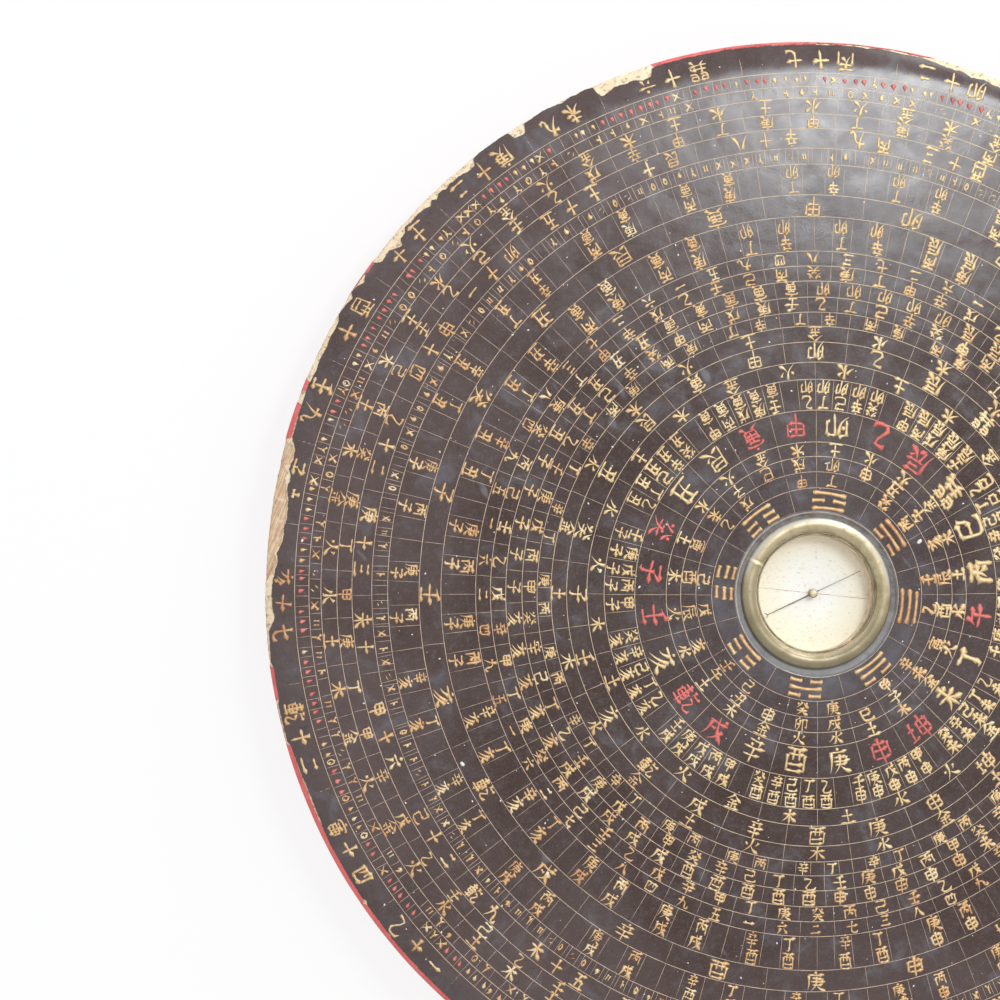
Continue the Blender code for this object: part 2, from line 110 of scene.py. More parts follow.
# How far the red lacquer is missing below that seam
RED_EDGE = (
    (60.0, 0.0), (62.0, 3.4), (76.0, 3.2), (77.5, 1.2), (79.0, 0.7), (81.0, 1.8), (83.0, 0.6), (85.0, 1.7),
    (87.0, 0.6), (89.0, 1.0), (90.0, 0.35), (100.0, 0.45), (106.8, 0.4), (107.2, 4.2), (142.9, 4.2),
    (143.4, 0.3), (144.5, 0.4), (145.2, 1.8), (147.0, 1.7), (148.5, 4.2), (157.0, 4.2), (157.4, 0.1),
    (158.4, 0.1), (158.7, 4.2), (159.6, 4.2), (159.9, 0.0), (163.6, 0.0), (164.0, 5.4), (166.5, 7.2),
    (169.0, 7.8), (175.0, 7.6), (178.4, 6.4), (180.2, 4.2), (187.2, 4.0),
    (187.6, 0.1), (190.8, 0.1), (191.1, 3.0), (195.4, 3.0), (195.9, 0.0), (213.7, 0.0),
    (213.9, 0.9), (214.1, 0.8), (214.3, 0.0),
)
# How far the chalk ground reaches outside the lacquer's edge
GROUND_EDGE = (
    (163.5, 5.0), (163.9, 2.4), (164.4, 0.9), (165.0, 0.4), (166.1, 0.4), (166.5, 1.5), (167.1, 0.8),
    (167.8, 1.7), (168.4, 0.5), (170.2, 0.3), (172.0, 0.4), (174.4, 0.3), (175.4, 0.7), (176.2, 0.4),
    (177.8, 0.5), (178.6, 1.8), (179.6, 3.0), (181.0, 5.0),
)
GROUND_UNDER_RED = 5.0 * MM

# Incised circles: the countersink's lip, then every circle out to the last, in millimetres
CIRCLES = (24.1, 31.1, 35.8, 40.25, 44.5, 53.7, 62.7, 67.65, 73.55, 78.1, 82.2, 86.6, 91.3, 95.65,
           100.0, 110.0, 116.4, 125.45, 130.1, 135.85, 140.2, 144.8, 148.25, 152.35, 159.9)
# Radial lines: ring number, first angle and step in degrees
EVEN_CELLS = (
    (0, 105.0, 45.0), (1, 0.0, 15.0), (2, 0.0, 15.0), (3, 0.0, 15.0), (4, 0.0, 15.0), (5, 0.0, 5.0),
    (6, 0.0, 15.0), (7, 7.5, 15.0), (8, 7.5, 15.0), (9, 1.5, 3.0), (10, 1.5, 6.0), (11, 1.5, 6.0),
    (12, 3.0, 6.0), (13, 3.0, 6.0), (14, 0.0, 3.0), (15, 7.5, 15.0), (16, 1.5, 3.0), (17, 0.0, 1.875),
    (17, 0.68, 1.875), (19, 2.8125, 5.625), (20, 2.8125, 5.625), (21, 0.3, 1.875), (22, 0.2, 1.125),
)
# The circles were struck by hand: the inner ones lie off the middle, the outer ones draw in at the lower left
INNER_SHIFT = (0.24 * MM, -0.62 * MM)
INNER_SHIFT_REACH = 110.0 * MM
OUTER_DRIFT = 0.85 * MM
OUTER_DRIFT_RADII = (105.0 * MM, 140.0 * MM)
OUTER_DRIFT_ANGLES = (165.0, 230.0, 290.0, 350.0)
# Rings of uneven cells: ring number, first angle and the cells' widths in degrees
RIM_RING = 23
MANSION_WIDTHS = (10, 16, 12, 9, 15, 12, 11, 14, 12, 13, 10, 17, 16, 9, 16, 12, 14, 11, 16, 13, 9, 18, 10,
                  15, 11, 14, 12, 13)
RIM_WIDTHS = (9, 12, 10, 10, 9, 9, 17, 12, 14, 11, 16, 13, 9, 18, 10, 15, 11, 18, 14, 11, 16, 12, 14, 10, 15,
              12, 17, 16)
UNEVEN_CELLS = ((18, 180.0, MANSION_WIDTHS), (RIM_RING, 113.5, RIM_WIDTHS))
CIRCLE_LINE = 0.25 * MM
RADIAL_LINE = 0.18 * MM
LAST_LINE_END = 157.6 * MM
EDGE_MARGIN = 0.25 * MM         # that marks keep from the lacquer's edge
SUNK = 0.02 * MM                # depth of the marks' edges below the face
ACROSS = np.array([1.0, 0.0, -1.0])    # left edge, ridge and right edge of a ribbon

# Trigrams in the innermost ring, as lines from the centre out: 1 is whole and 0 is broken
TRIGRAM_START = 82.5
TRIGRAMS = ((1, 0, 1), (0, 0, 1), (0, 0, 0), (1, 0, 0), (0, 1, 0), (1, 1, 0), (1, 1, 1), (0, 1, 1))
TRIGRAM_LENGTH = 9.9 * MM
TRIGRAM_PITCH = 2.15 * MM
TRIGRAM_BAR = 1.42 * MM
TRIGRAM_BREAK = 2.3 * MM
ORANGE_TRIGRAMS = (6, 7)
FULL_BRUSH_ANGLE = math.radians(8.0)

# Marks of the compass points, stems, branches, elements and numbers. Each stroke is a letter and its
# points on a square of 10 by 10, x to the right and y down: h level, v upright, p falling left,
# n falling right, d dot, c turning, g hooked, t teardrop.
STROKES = {
    "一": "h 1,5 9,4.6",
    "二": "h 2.5,3 7.5,2.7/h 1,8 9,7.7",
    "三": "h 2,1.5 8,1.3/h 2.8,5 7.2,4.7/h 1,8.6 9,8.3",
    "四": "v 1.5,2 2,8.5/h 1.5,2 8.5,2/v 8.5,2 8,8.5/p 4,2 2.8,6.2/v 6,2 6.2,5.5/h 2,8.3 8,8.3",
    "五": "h 2,1 8,1/v 4.8,1 3.8,9/h 2.3,4.8 7.2,4.8/v 7,4.8 6.7,9/h .8,9 9.2,9",
    "六": "d 4.6,.5 5.4,2.2/h 1,3.6 9,3.4/p 4,5.2 3.2,7.6 1.5,9.5/n 6,5.2 7,7 8.6,9.4",
    "七": "h 1,4.6 9,3.4/c 4.4,.8 4.4,7.6 5.2,9 8.8,9 8.9,7.4",
    "八": "p 4,2 3.4,5.5 1,9.3/n 5.4,1 6.4,5.5 9.2,9.3",
    "九": "p 4.2,.6 4,5 1,9.4/c 1.2,3.4 7,3.4 6.8,8.4 7.4,9.2 9.4,9 9.4,7",
    "十": "h 1,4.6 9,4.4/v 5,.6 5,9.6",
    "甲": "v 2,1.2 2,5.8/h 2,1.2 8,1.2/v 8,1.2 8,5.8/h 2,3.5 8,3.5/h 2,5.8 8,5.8/v 5,1.2 5,9.8",
    "乙": "c 2,1.6 7.6,1.6 3,7 2.6,8.8 4,9.2 8.6,9.2 8.9,7.2",
    "丙": "h 1,1.4 9,1.4/v 1.8,3.6 1.8,9.4/h 1.8,3.6 8.2,3.6/v 8.2,3.6 8.2,9.4/p 5,1.4 4.8,5 3,7.4/"
          "n 5,4.6 7,7",
    "丁": "h 1,1.6 9,1.4/g 5.2,1.6 5.2,9.2 3.4,8.6",
    "戊": "h 1.4,3 9,2.6/p 2.6,3 2.4,7 1,9.4/n 5,.8 6,6 9,9.4/p 8,4.8 6,8 3.4,9.6/d 7.2,.6 8.2,1.8",
    "己": "h 2,1.4 7.8,1.4/v 7.8,1.4 7.6,4.8/h 2.2,4.8 7.8,4.8/c 2.2,4.8 2.2,8.4 3.2,9.2 8.8,9.2 8.9,7.4",
    "庚": "d 4.8,.2 5.4,1.4/h 1.6,1.8 9,1.8/p 1.8,1.8 1.8,6 .8,9.6/h 3.2,3.6 8,3.6/v 8,3.6 8,6.6/"
          "h 2.6,5.1 9.4,5.1/h 3.2,6.6 8,6.6/p 5.4,2.6 5.2,7 2.4,9.8/n 5.4,7 9.2,9.8",
    "辛": "d 4.8,0 5.4,1.2/h 1.8,1.8 8.2,1.8/d 3.2,2.6 3.8,4/p 6.8,2.4 6.2,4/h .8,4.4 9.2,4.4/"
          "h 1.8,6.8 8.2,6.8/v 5,4.4 5,10",
    "壬": "p 7.6,.6 4.8,1.6 2.4,1.9/v 5,1.6 5,8.8/h .8,4.8 9.2,4.8/h 2,8.8 8,8.8",
    "癸": "p 4.4,1 3,3.4 .8,5/d 1.4,1.6 2.6,2.8/n 5.6,1 7,3.4 9.4,5/d 8.4,1.4 7.2,2.8/h 3.2,5 6.8,5/"
          "h 1.4,6.6 8.6,6.6/p 5,5 4.6,7.4 1.2,9.8/n 5,7 9,9.8",
    "子": "h 2,1.2 8,1.2/p 8,1.2 5,3.6/g 5,3.6 5.2,9.4 3.4,8.8/h .8,5 9.2,5",
    "丑": "h 2,1.4 8,1.4/v 7.8,1.4 7.2,9/p 4.6,1.4 3.8,9/h 1.6,5 8.4,5/h .8,9 9.2,9",
    "寅": "d 4.8,0 5.2,1/c 1.4,3 1.4,1.6 8.6,1.6 8.6,2.8/h 2.6,3.2 7.4,3.2/v 2.4,4.4 2.4,7.6/"
          "h 2.4,4.4 7.6,4.4/v 7.6,4.4 7.6,7.6/h 2.4,6 7.6,6/h 2.4,7.6 7.6,7.6/v 5,3.2 5,7.6/"
          "p 3.6,8 1.4,9.8/n 6.4,8 8.6,9.8",
    "卯": "p 4.2,.8 1.6,2/v 1.8,1.8 1.8,8/p 4.4,1.8 4.2,6.6 1.4,9.6/v 6,1.6 6,9.8/h 6,1.6 9,1.6/"
          "v 9,1.6 8.8,6.6/d 8.8,6.6 7.6,6.4/d 2.6,4 3.4,5.4",
    "辰": "h 1.8,1 9,1/p 1.8,1 1.8,6 .6,9.8/h 3.4,2.8 8.2,2.8/h 2.6,4.6 9.4,4.6/v 4.2,4.6 3.8,9.2/"
          "d 3.8,9.2 6,8/n 5.4,4.8 6.6,7.6 9.6,9.6/p 8.6,5.4 6.8,7",
    "巳": "h 2,1.4 7.8,1.4/v 7.8,1.4 7.6,5/h 2.2,5 7.8,5/c 2.2,1.4 2.2,8.4 3.2,9.2 8.8,9.2 8.9,7.4",
    "午": "p 3.4,.4 2.8,2.4 1.2,4/h 2.4,2.2 8.2,2.2/h .6,5.2 9.4,5.2/v 5.2,2.2 5.2,10",
    "未": "h 2,2.4 8,2.4/h .8,4.8 9.2,4.8/v 5,.4 5,10/p 4.8,5 3.4,7.4 .8,9/n 5.2,5 6.6,7.4 9.2,9",
    "申": "v 2,2 2,7.2/h 2,2 8,2/v 8,2 8,7.2/h 2,4.6 8,4.6/h 2,7.2 8,7.2/v 5,0 5,10",
    "酉": "h .8,1 9.2,1/v 1.8,3 1.8,9.6/h 1.8,3 8.2,3/v 8.2,3 8.2,9.6/v 4,1 3.8,5.4/v 6.2,1 6.2,5.4/"
          "h 2,6.9 8,6.9/h 1.8,9.2 8.2,9.2",
    "戌": "h 1.4,2.8 9,2.4/p 2.4,2.8 2.2,7 .8,9.6/n 5,.6 6,6 9.2,9.4/p 8.2,4.6 6,8 3.4,9.8/"
          "d 7.2,.4 8.4,1.6/h 3.2,5.2 5,5.2",
    "亥": "d 4.8,0 5.4,1.4/h 1,2.2 9,2.2/p 5.4,2.4 3,5 1.4,5.2/p 7.4,4 4.8,6.8 1,9/"
          "p 8.4,5.4 5.4,8.4 2.6,10/n 5.6,7 9.2,9.8",
    "乾": "h 1,2 4.8,2/v 2.9,.6 2.9,10/h 1.2,3.6 4.6,3.6/h 1.2,5.2 4.6,5.2/h 1.2,6.8 4.6,6.8/"
          "v 1.2,3.6 1.2,6.8/v 4.6,3.6 4.6,6.8/h .4,8.2 5.4,8.2/p 6.4,1 5.6,3.2/h 6.2,2.4 9.4,2.4/"
          "c 6,4.6 8.8,4.6 6.2,8 6.4,9.2 9.6,9.2 9.6,7.8",
    "坤": "v 1.8,1.4 1.8,8/h .4,4 3.4,4/h .4,8 3.6,7.4/v 4.8,2.6 4.8,7.4/h 4.8,2.6 9,2.6/"
          "v 9,2.6 9,7.4/h 4.8,5 9,5/h 4.8,7.4 9,7.4/v 6.9,.4 6.9,10",
    "艮": "h 2.2,1 7.6,1/v 7.6,1 7.6,4.8/h 2.4,2.9 7.6,2.9/h 2.4,4.8 7.6,4.8/v 2.4,1 2.4,9/"
          "d 2.4,9 5,7.8/n 4.4,5 6,7.6 9.4,9.6/p 8.4,5.4 6.2,7",
    "巽": "h 1,.8 4,.8/v 4,.8 4,2.4/h 1,2.4 4,2.4/c 1,.8 1,4 4.4,4 4.4,3.2/h 6,.8 9,.8/v 9,.8 9,2.4/"
          "h 6,2.4 9,2.4/c 6,.8 6,4 9.4,4 9.4,3.2/h 1.4,6 8.6,6/v 3.4,4.8 3.4,7.8/v 6.6,4.8 6.6,7.8/"
          "h .6,7.8 9.4,7.8/p 3.6,8.2 1.6,10/n 6.4,8.2 8.6,10",
    "金": "p 5,.2 3,2.6 .6,4.4/n 5,.2 7,2.6 9.4,4.4/h 3,4 7,4/h 1.8,6 8.2,6/v 5,4 5,9.2/"
          "d 2.8,7 3.4,8.4/d 7.2,7 6.6,8.4/h .8,9.4 9.2,9.4",
    "木": "h .8,3.4 9.2,3.4/v 5,.2 5,10/p 4.8,3.6 3.4,6.4 .6,8.6/n 5.2,3.6 6.6,6.4 9.4,8.6",
    "水": "g 5,.2 5.2,9.4 3.6,8.8/p 3.8,3.2 2.6,6 .6,8/p 8.8,1.8 5.6,4.4/n 5.4,4.2 7,7 9.6,8.8",
    "火": "d 1.6,3 2.8,5/p 8.6,2.6 7,5/p 5,.4 4.8,5.4 .8,9.6/n 5,5 6.4,7.6 9.4,9.6",
    "土": "h 1.8,4.4 8.2,4.4/v 5,.6 5,9/h .6,9 9.4,9",
    "cross": "n 1,1.5 5,5 9,8.5/p 9,1 5,5 1,9",
    "drop": "t 5.8,8.6 5.2,6 3.6,1",
    "fork": "v 5,5 5,9.6/p 2,.6 5,5/n 8,.6 5,5",
    "bars": "v 3,2 3,8/v 7,2.4 7,7.6",
    "dots": "t 3,3 4,3.8/t 6.6,6.4 7.4,7.4",
    "loop": "c 5,1 1.6,4 4,8.8 8,6 5.6,1/d 5,5 5.6,6.6",
    "tee": "v 4,1 4,9/d 4,4 8,6",
    "comma": "t 4,3 6,6 3.6,9",
}
WIDTH_PROFILES = {
    "h": (0.55, 0.95, 0.65, 0.75, 1.6, 0.5),
    "v": (1.6, 1.05, 0.75, 0.75, 0.9, 0.45),
    "p": (1.6, 1.35, 0.95, 0.65, 0.4, 0.15),
    "n": (0.3, 0.5, 0.85, 1.5, 1.6, 0.35),
    "d": (0.3, 0.9, 1.5, 1.5, 1.1, 0.4),
    "c": (1.4, 0.85, 0.85, 0.7, 0.75, 1.15, 0.8, 0.9, 1.3, 0.3),
    "g": (1.5, 0.95, 0.75, 0.8, 1.2, 0.9, 0.25),
    "t": (1.3, 2.6, 2.5, 1.5, 0.7, 0.2),
}
# How far a straight stroke bows, as a share of its length
STROKE_BOWS = {"p": -0.13, "n": 0.11, "h": 0.04}
POINTS = "子癸丑艮寅甲卯乙辰巽巳丙午丁未坤申庚酉辛戌乾亥壬"
RED_POINTS = "寅甲乙辰癸子壬乾戌坤申午"
STEMS = "甲乙丙丁戊己庚辛壬癸"
BRANCHES = "子丑寅卯辰巳午未申酉戌亥"
ELEMENTS = "水木火土金"
DIGITS = "一二三四五六七八九十"
TINY_MARKS = ("cross", "loop", "dots", "fork", "tee", "bars", "comma")

# Specks of white paint on the face: angle in degrees, radius and width in millimetres
BIG_SPECKS = ((26.8, 34.2, 1.5), (355.7, 35.7, 0.9), (174.1, 150.9, 0.9), (205.3, 115.0, 1.4),
              (225.7, 113.4, 1.2), (173.9, 64.1, 1.1), (191.7, 130.4, 0.5), (103.6, 142.1, 0.5),
              (177.6, 52.4, 0.8), (206.6, 135.1, 0.6), (323.7, 52.9, 0.5), (331.5, 28.8, 0.5))
SPECK_SIDES = 9
DUST_COUNT = 560
DUST_REACH = 158.0 * MM
DUST_SIZES = (0.11, 0.14, 0.17, 0.22, 0.3)

# Needle compass
BEZEL_INNER = 17.8 * MM
BEZEL_OUTER = 22.2 * MM
BEZEL_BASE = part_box("bezel_ring")[0].z
BEZEL_SKIRT = 0.8 * MM
BEZEL_CROWN = 1.8 * MM
SEAM_ANGLE = 153.0
GLASS_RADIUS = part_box("compass_glass")[1].x
GLASS_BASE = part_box("compass_glass")[0].z
GLASS_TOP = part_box("compass_glass")[1].z
WIRE_RADIUS = 0.3 * MM
WIRE_RING_RADIUS = 17.25 * MM
WIRE_GAP_ANGLE = -54.2
WIRE_GAP = 2.6
DIAL_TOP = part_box("paper_dial")[1].z
DIAL_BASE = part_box("paper_dial")[0].z
DIAL_RADIUS = 16.95 * MM
MERIDIAN_ANGLE = -6.0
NEEDLE_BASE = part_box("needle")[0].z
NEEDLE_ANGLE = math.radians(24.8)
NEEDLE_REACH = 15.5 * MM
NEEDLE_TAIL = 15.0 * MM
NEEDLE_WIDTH = 0.40 * MM
FORK_PRONG = 1.2 * MM
FORK_ANGLE = math.radians(52.0)
CAP_RADIUS = 1.15 * MM
CAP_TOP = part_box("needle_cap")[1].z
CAP_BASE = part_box("needle_cap")[0].z

# Camera: a long lens that looks at the disc from a little to the left of its axis
IMAGE_PIXELS = 1000
FOCAL_PIXELS = 5000
SENSOR_WIDTH_MM = 36.0
PIXEL_SIZE = 0.2914 * MM        # of the object, at the middle of its face
CENTRE_PIXEL_X = 816.58
CENTRE_PIXEL_Y = 593.10
TILT_Y = math.radians(7.6)
TILT_X = math.radians(-1.13)
CLIP_END = 20.0

# Studio. A lamp has a name, a place, a target, a size, watts and a colour
FLOOR_REACH = 6.0
FLOOR_COLOUR = (0.93, 0.93, 0.93, 1.0)
FLOOR_WHITE = 0.86
WORLD_COLOUR = (0.97, 0.985, 1.0, 1.0)
WORLD_STRENGTH = 0.68
LAMPS = (
    ("key", (0.428, 0.590, 1.455), (0.01, 0.14, 0.02), (0.26, 0.56), 9.2, (0.99, 0.99, 1.0)),
    ("window", (0.60, 0.89, 0.50), (0.0, 0.0, 0.02), (0.5, 0.4), 4.2, (1.0, 1.0, 1.0)),
)


# Materials

class Shader:
    """One Principled material, its colour so far, and short calls for the nodes that feed it."""

    def __init__(self, name, roughness=0.5, metallic=0.0, specular=0.5, tint=(1.0, 1.0, 1.0)):
        self.material = bpy.data.materials.new(name)
        self.material.use_nodes = True
        self.tree = self.material.node_tree
        self.surface = self.tree.nodes["Principled BSDF"]
        self.place = self.tree.nodes.new("ShaderNodeTexCoord").outputs["Object"]
        self.shown = None
        self.give("Roughness", roughness)
        self.give("Metallic", metallic)
        self.give("Specular IOR Level", specular)
        self.give("Specular Tint", tint)

    def feed(self, socket, value):
        if isinstance(value, bpy.types.NodeSocket):
            self.tree.links.new(value, socket)
        elif isinstance(value, tuple) and len(value) == 3 and socket.type == "RGBA":
            socket.default_value = (*value, 1.0)
        else:
            socket.default_value = value

    def give(self, name, value):
        """A value or a node's output for one of the material's own inputs."""
        self.feed(self.surface.inputs[name], value)

    def node(self, kind, values, **settings):
        """Outputs of a new node, with its settings and with values or outputs for its inputs."""
        node = self.tree.nodes.new("ShaderNode" + kind)
        for name, setting in settings.items():
            setattr(node, name, setting)
        for name, value in values.items():
            self.feed(node.inputs[name], value)
        return node.outputs

    def mapped(self, scale, turn=0.0):
        values = {"Rotation": (0.0, 0.0, math.radians(turn)), "Scale": scale, "Vector": self.place}
        return self.node("Mapping", values, vector_type="TEXTURE")["Vector"]

    def noise(self, size, detail=4.0, rough=0.5, stretch=(1.0, 1.0, 1.0), turn=0.0, twist=0.0):
        """Noise whose patches are about this many metres across."""
        place = self.mapped(tuple(size * share for share in stretch), turn)
        values = {"Vector": place, "Scale": 1.0, "Detail": detail, "Roughness": rough, "Distortion": twist}
        return self.node("TexNoise", values)["Fac"]

    def cells(self, size):
        return self.node("TexVoronoi", {"Vector": self.mapped((size, size, size)), "Scale": 1.0})["Distance"]

    def span(self, value, low, high, first=0.0, last=1.0):
        """Value between low and high, turned into first to last and held there."""
        values = {"Value": value, "From Min": low, "From Max": high, "To Min": first, "To Max": last}
        return self.node("MapRange", values, interpolation_type="SMOOTHSTEP")["Result"]

    def maths(self, operation, first, second=0.0):
        return self.node("Math", {0: first, 1: second}, operation=operation)["Value"]

    def times(self, first, second):
        return self.maths("MULTIPLY", first, second)

    def mix(self, factor, first, second):
        return self.node("Mix", {"Factor": factor, "A": first, "B": second}, data_type="RGBA")["Result"]

    def split(self, place, axis):
        return self.node("SeparateXYZ", {"Vector": place})[axis]

    def from_axis(self, centre=(0.0, 0.0)):
        """Distance from an upright axis."""
        squares = [self.maths("POWER", self.maths("SUBTRACT", self.split(self.place, axis), middle), 2.0)
                   for axis, middle in zip("XY", centre)]
        return self.maths("SQRT", self.maths("ADD", *squares))

    def along(self, turn, axis="X"):
        """Place along a level direction, or across it with axis Y."""
        return self.split(self.mapped((1.0, 1.0, 1.0), turn), axis)

    def height(self):
        return self.split(self.place, "Z")

    def bump(self, value, distance, strength=1.0):
        values = {"Strength": strength, "Distance": distance, "Height": value}
        self.give("Normal", self.node("Bump", values)["Normal"])

    def colour(self, value):
        self.shown = value
        self.give("Base Color", value)

    def over(self, amount, shade):
        """Lays a shade over the colour so far, by an amount from 0 to 1."""
        self.colour(self.mix(amount, self.shown, shade))

    def patches(self, pattern, low, high, share, shade):
        """Lays a share of a shade where a pattern passes from low to high."""
        self.over(self.span(pattern, low, high, 0.0, share), shade)


def stained(name, size, low, high, first, second, detail=3.0, rough=0.5, **settings):
    """Material of two shades that pass into each other in patches."""
    shader = Shader(name, **settings)
    patch = shader.noise(size, detail=detail, rough=rough)
    shader.colour(shader.mix(shader.span(patch, low, high), first, second))
    return shader


def black_lacquer():
    """Brown-black lacquer with grey bloom, dust, fine scratches and a worn seat for the bezel, and painted
    sheen and a painted highlight by the bezel towards the lower left.
    """
    shader = Shader("black_lacquer", specular=0.43, tint=(0.91, 0.975, 1.0))
    bloom_shade = (0.145, 0.142, 0.165)
    cloud = shader.noise(30 * MM, detail=5.0, rough=0.6)
    patch = shader.noise(9 * MM, detail=6.0, rough=0.62, twist=0.6)
    fleck = shader.noise(2.6 * MM, detail=5.0, rough=0.65)
    grain = shader.noise(0.6 * MM, detail=3.0)
    radius = shader.from_axis()
    shader.colour(shader.mix(shader.span(cloud, 0.36, 0.62), (0.039, 0.013, 0.006), (0.064, 0.037, 0.031)))
    worn = shader.span(radius, 85 * MM, 152 * MM, 0.0, 0.8)
    shader.over(shader.times(worn, shader.span(cloud, 0.3, 0.6, 0.6, 1.0)), (0.101, 0.064, 0.058))
    shader.over(shader.span(fleck, 0.26, 0.44, 0.5, 0.0), (0.022, 0.012, 0.012))
    shader.patches(fleck, 0.50, 0.76, 0.55, (0.115, 0.095, 0.096))
    shader.patches(grain, 0.46, 0.74, 0.4, (0.128, 0.096, 0.084))
    bloom = shader.times(shader.span(patch, 0.52, 0.72, 0.0, 0.6), shader.span(cloud, 0.38, 0.62, 0.35, 1.0))
    shader.over(bloom, bloom_shade)
    smear = shader.noise(5 * MM, detail=3.0, rough=0.4, stretch=(1.0, 2.6, 1.0), turn=35.0)
    shader.patches(smear, 0.70, 0.80, 0.55, (0.22, 0.22, 0.25))
    for turn, low in ((28.0, 0.66), (-52.0, 0.68), (81.0, 0.69)):
        hair = shader.noise(1.0 * MM, detail=1.0, stretch=(0.16, 14.0, 1.0), turn=turn)
        scratch = shader.times(shader.span(hair, low, low + 0.07, 0.0, 0.35), shader.span(patch, 0.45, 0.6))
        shader.over(scratch, (0.16, 0.15, 0.16))
    dust = shader.span(shader.cells(1.5 * MM), 0.05, 0.12, 1.0, 0.0)
    dusty = shader.span(shader.noise(6 * MM, detail=2.0), 0.5, 0.6, 0.0, 0.3)
    shader.over(shader.times(dust, dusty), (0.30, 0.28, 0.27))
    below = shader.span(shader.along(258.0), -12.0 * MM, 14.0 * MM)
    # Grey haze: towards the lower left, out to about 32 mm, it is painted sheen by the bezel; the bands round
    # the middle and at the last circle are grey bloom.
    bloom_and_sheen = shader.times(below, shader.span(radius, 29.5 * MM, 32.0 * MM, 0.28, 0.0))
    bloom_and_sheen = shader.maths("ADD", bloom_and_sheen, shader.span(radius, 30 * MM, 62 * MM, 0.15, 0.03))
    bloom_and_sheen = shader.maths("ADD", bloom_and_sheen, shader.span(radius, 151.8 * MM, 153.0 * MM, 0.0, 0.06))
    shader.over(shader.times(bloom_and_sheen, shader.span(patch, 0.3, 0.62, 0.6, 1.2)), bloom_shade)
    seat = shader.span(radius, 23.8 * MM, 24.6 * MM, 1.0, 0.0)
    scuff = shader.span(shader.noise(3.5 * MM, detail=5.0, rough=0.65), 0.36, 0.6, 0.35, 1.0)
    shader.over(shader.times(seat, scuff), (0.24, 0.23, 0.225))
    # Painted highlight: the seat is painted paler towards the lower left, where its slope faces the light.
    shader.over(shader.times(seat, shader.times(below, 0.32)), (0.42, 0.42, 0.44))
    gloss = shader.span(patch, 0.3, 0.72, 0.155, 0.26)
    shader.give("Roughness", shader.maths("MAXIMUM", gloss, shader.times(seat, 0.55)))
    relief = shader.maths("ADD", grain, shader.times(patch, 2.0))
    wave = shader.times(shader.noise(13 * MM, detail=2.0), 14.0)
    shader.bump(shader.maths("ADD", relief, wave), 0.02 * MM, 0.55)
    return shader.material


def paint(name, dark, plain, light, fresh_and_lit=None, metallic=0.0, roughness=0.5):
    """Hand-laid paint whose shade follows the mark it belongs to, with thin and rubbed places.

    The fresh_and_lit colour, where there is one, shows as fresher paint in the middle of the face, and as a
    painted highlight towards its upper right, where the light falls more strongly.
    """
    shader = Shader(name, roughness=roughness, metallic=metallic, specular=0.4)
    load = shader.noise(1.3 * MM, detail=3.0, rough=0.6)
    tone = shader.node("Attribute", {}, attribute_name="tone")["Fac"]
    shade = shader.maths("ADD", tone, shader.span(load, 0.3, 0.7, -0.3, 0.26))
    shader.colour(shader.mix(shader.span(shade, 0.0, 0.5), dark, plain))
    shader.over(shader.span(shade, 0.5, 1.0), light)
    if fresh_and_lit is not None:
        radius = shader.from_axis()
        middle = shader.maths("MINIMUM", shader.span(radius, 35 * MM, 45 * MM, 0.0, 0.45),
                              shader.span(radius, 55 * MM, 105 * MM, 0.45, 0.0))
        # Painted highlight: the paint is paler towards the upper right, where the light falls more strongly.
        right = shader.span(shader.along(60.0), 40 * MM, 150 * MM, 0.0, 0.6)
        shader.over(shader.maths("MAXIMUM", middle, right), fresh_and_lit)
    rubbed_and_highlight = shader.noise(0.42 * MM, detail=3.0, rough=0.7)
    shader.patches(rubbed_and_highlight, 0.66, 0.76, 0.55, (0.09, 0.05, 0.035))
    shader.bump(load, 0.03 * MM, 0.5)
    return shader.material


def red_lacquer():
    """Red lacquer of the side, thin over the arris, with dark nicks and a duller underside."""
    shader = Shader("red_lacquer")
    flow = shader.noise(4 * MM, detail=5.0, rough=0.6)
    shader.colour(shader.mix(shader.span(flow, 0.3, 0.7), (0.70, 0.115, 0.112), (0.84, 0.175, 0.165)))
    nick = shader.span(shader.noise(1.0 * MM, rough=0.7), 0.56, 0.64)
    near_top = shader.span(shader.height(), 15.6 * MM, 17.0 * MM)
    far_side = shader.span(shader.along(80.0), 95.0 * MM, 140.0 * MM, 0.15, 0.85)
    shader.over(shader.times(nick, shader.times(near_top, far_side)), (0.09, 0.035, 0.035))
    scrape = shader.noise(2.2 * MM, stretch=(1.0, 1.0, 0.35))
    shader.patches(scrape, 0.68, 0.76, 0.5, (0.75, 0.55, 0.38))
    worn = shader.span(shader.from_axis(), 103.0 * MM, 105.5 * MM, 0.75, 0.0)
    foot = shader.times(worn, shader.span(flow, 0.42, 0.6))
    low = shader.span(shader.height(), 0.1 * MM, 0.5 * MM, 1.0, 0.0)
    shader.over(shader.times(foot, low), (0.20, 0.10, 0.07))
    shader.give("Roughness", shader.span(flow, 0.3, 0.75, 0.32, 0.55))
    shader.bump(flow, 0.08 * MM, 0.5)
    return shader.material


def chalk_ground():
    """Cream chalk with grey-brown dirt in its pores."""
    shader = stained("chalk_ground", 3.2 * MM, 0.32, 0.7, (0.97, 0.83, 0.59), (0.89, 0.68, 0.45), rough=0.65,
                     detail=5.0, roughness=0.86, specular=0.25)
    pores = shader.noise(0.55 * MM, rough=0.7)
    shader.patches(pores, 0.56, 0.72, 0.65, (0.46, 0.34, 0.22))
    shader.patches(shader.noise(1.6 * MM, detail=5.0, rough=0.7), 0.54, 0.62, 0.65, (0.27, 0.23, 0.20))
    shader.bump(pores, 0.12 * MM, 0.8)
    return shader.material


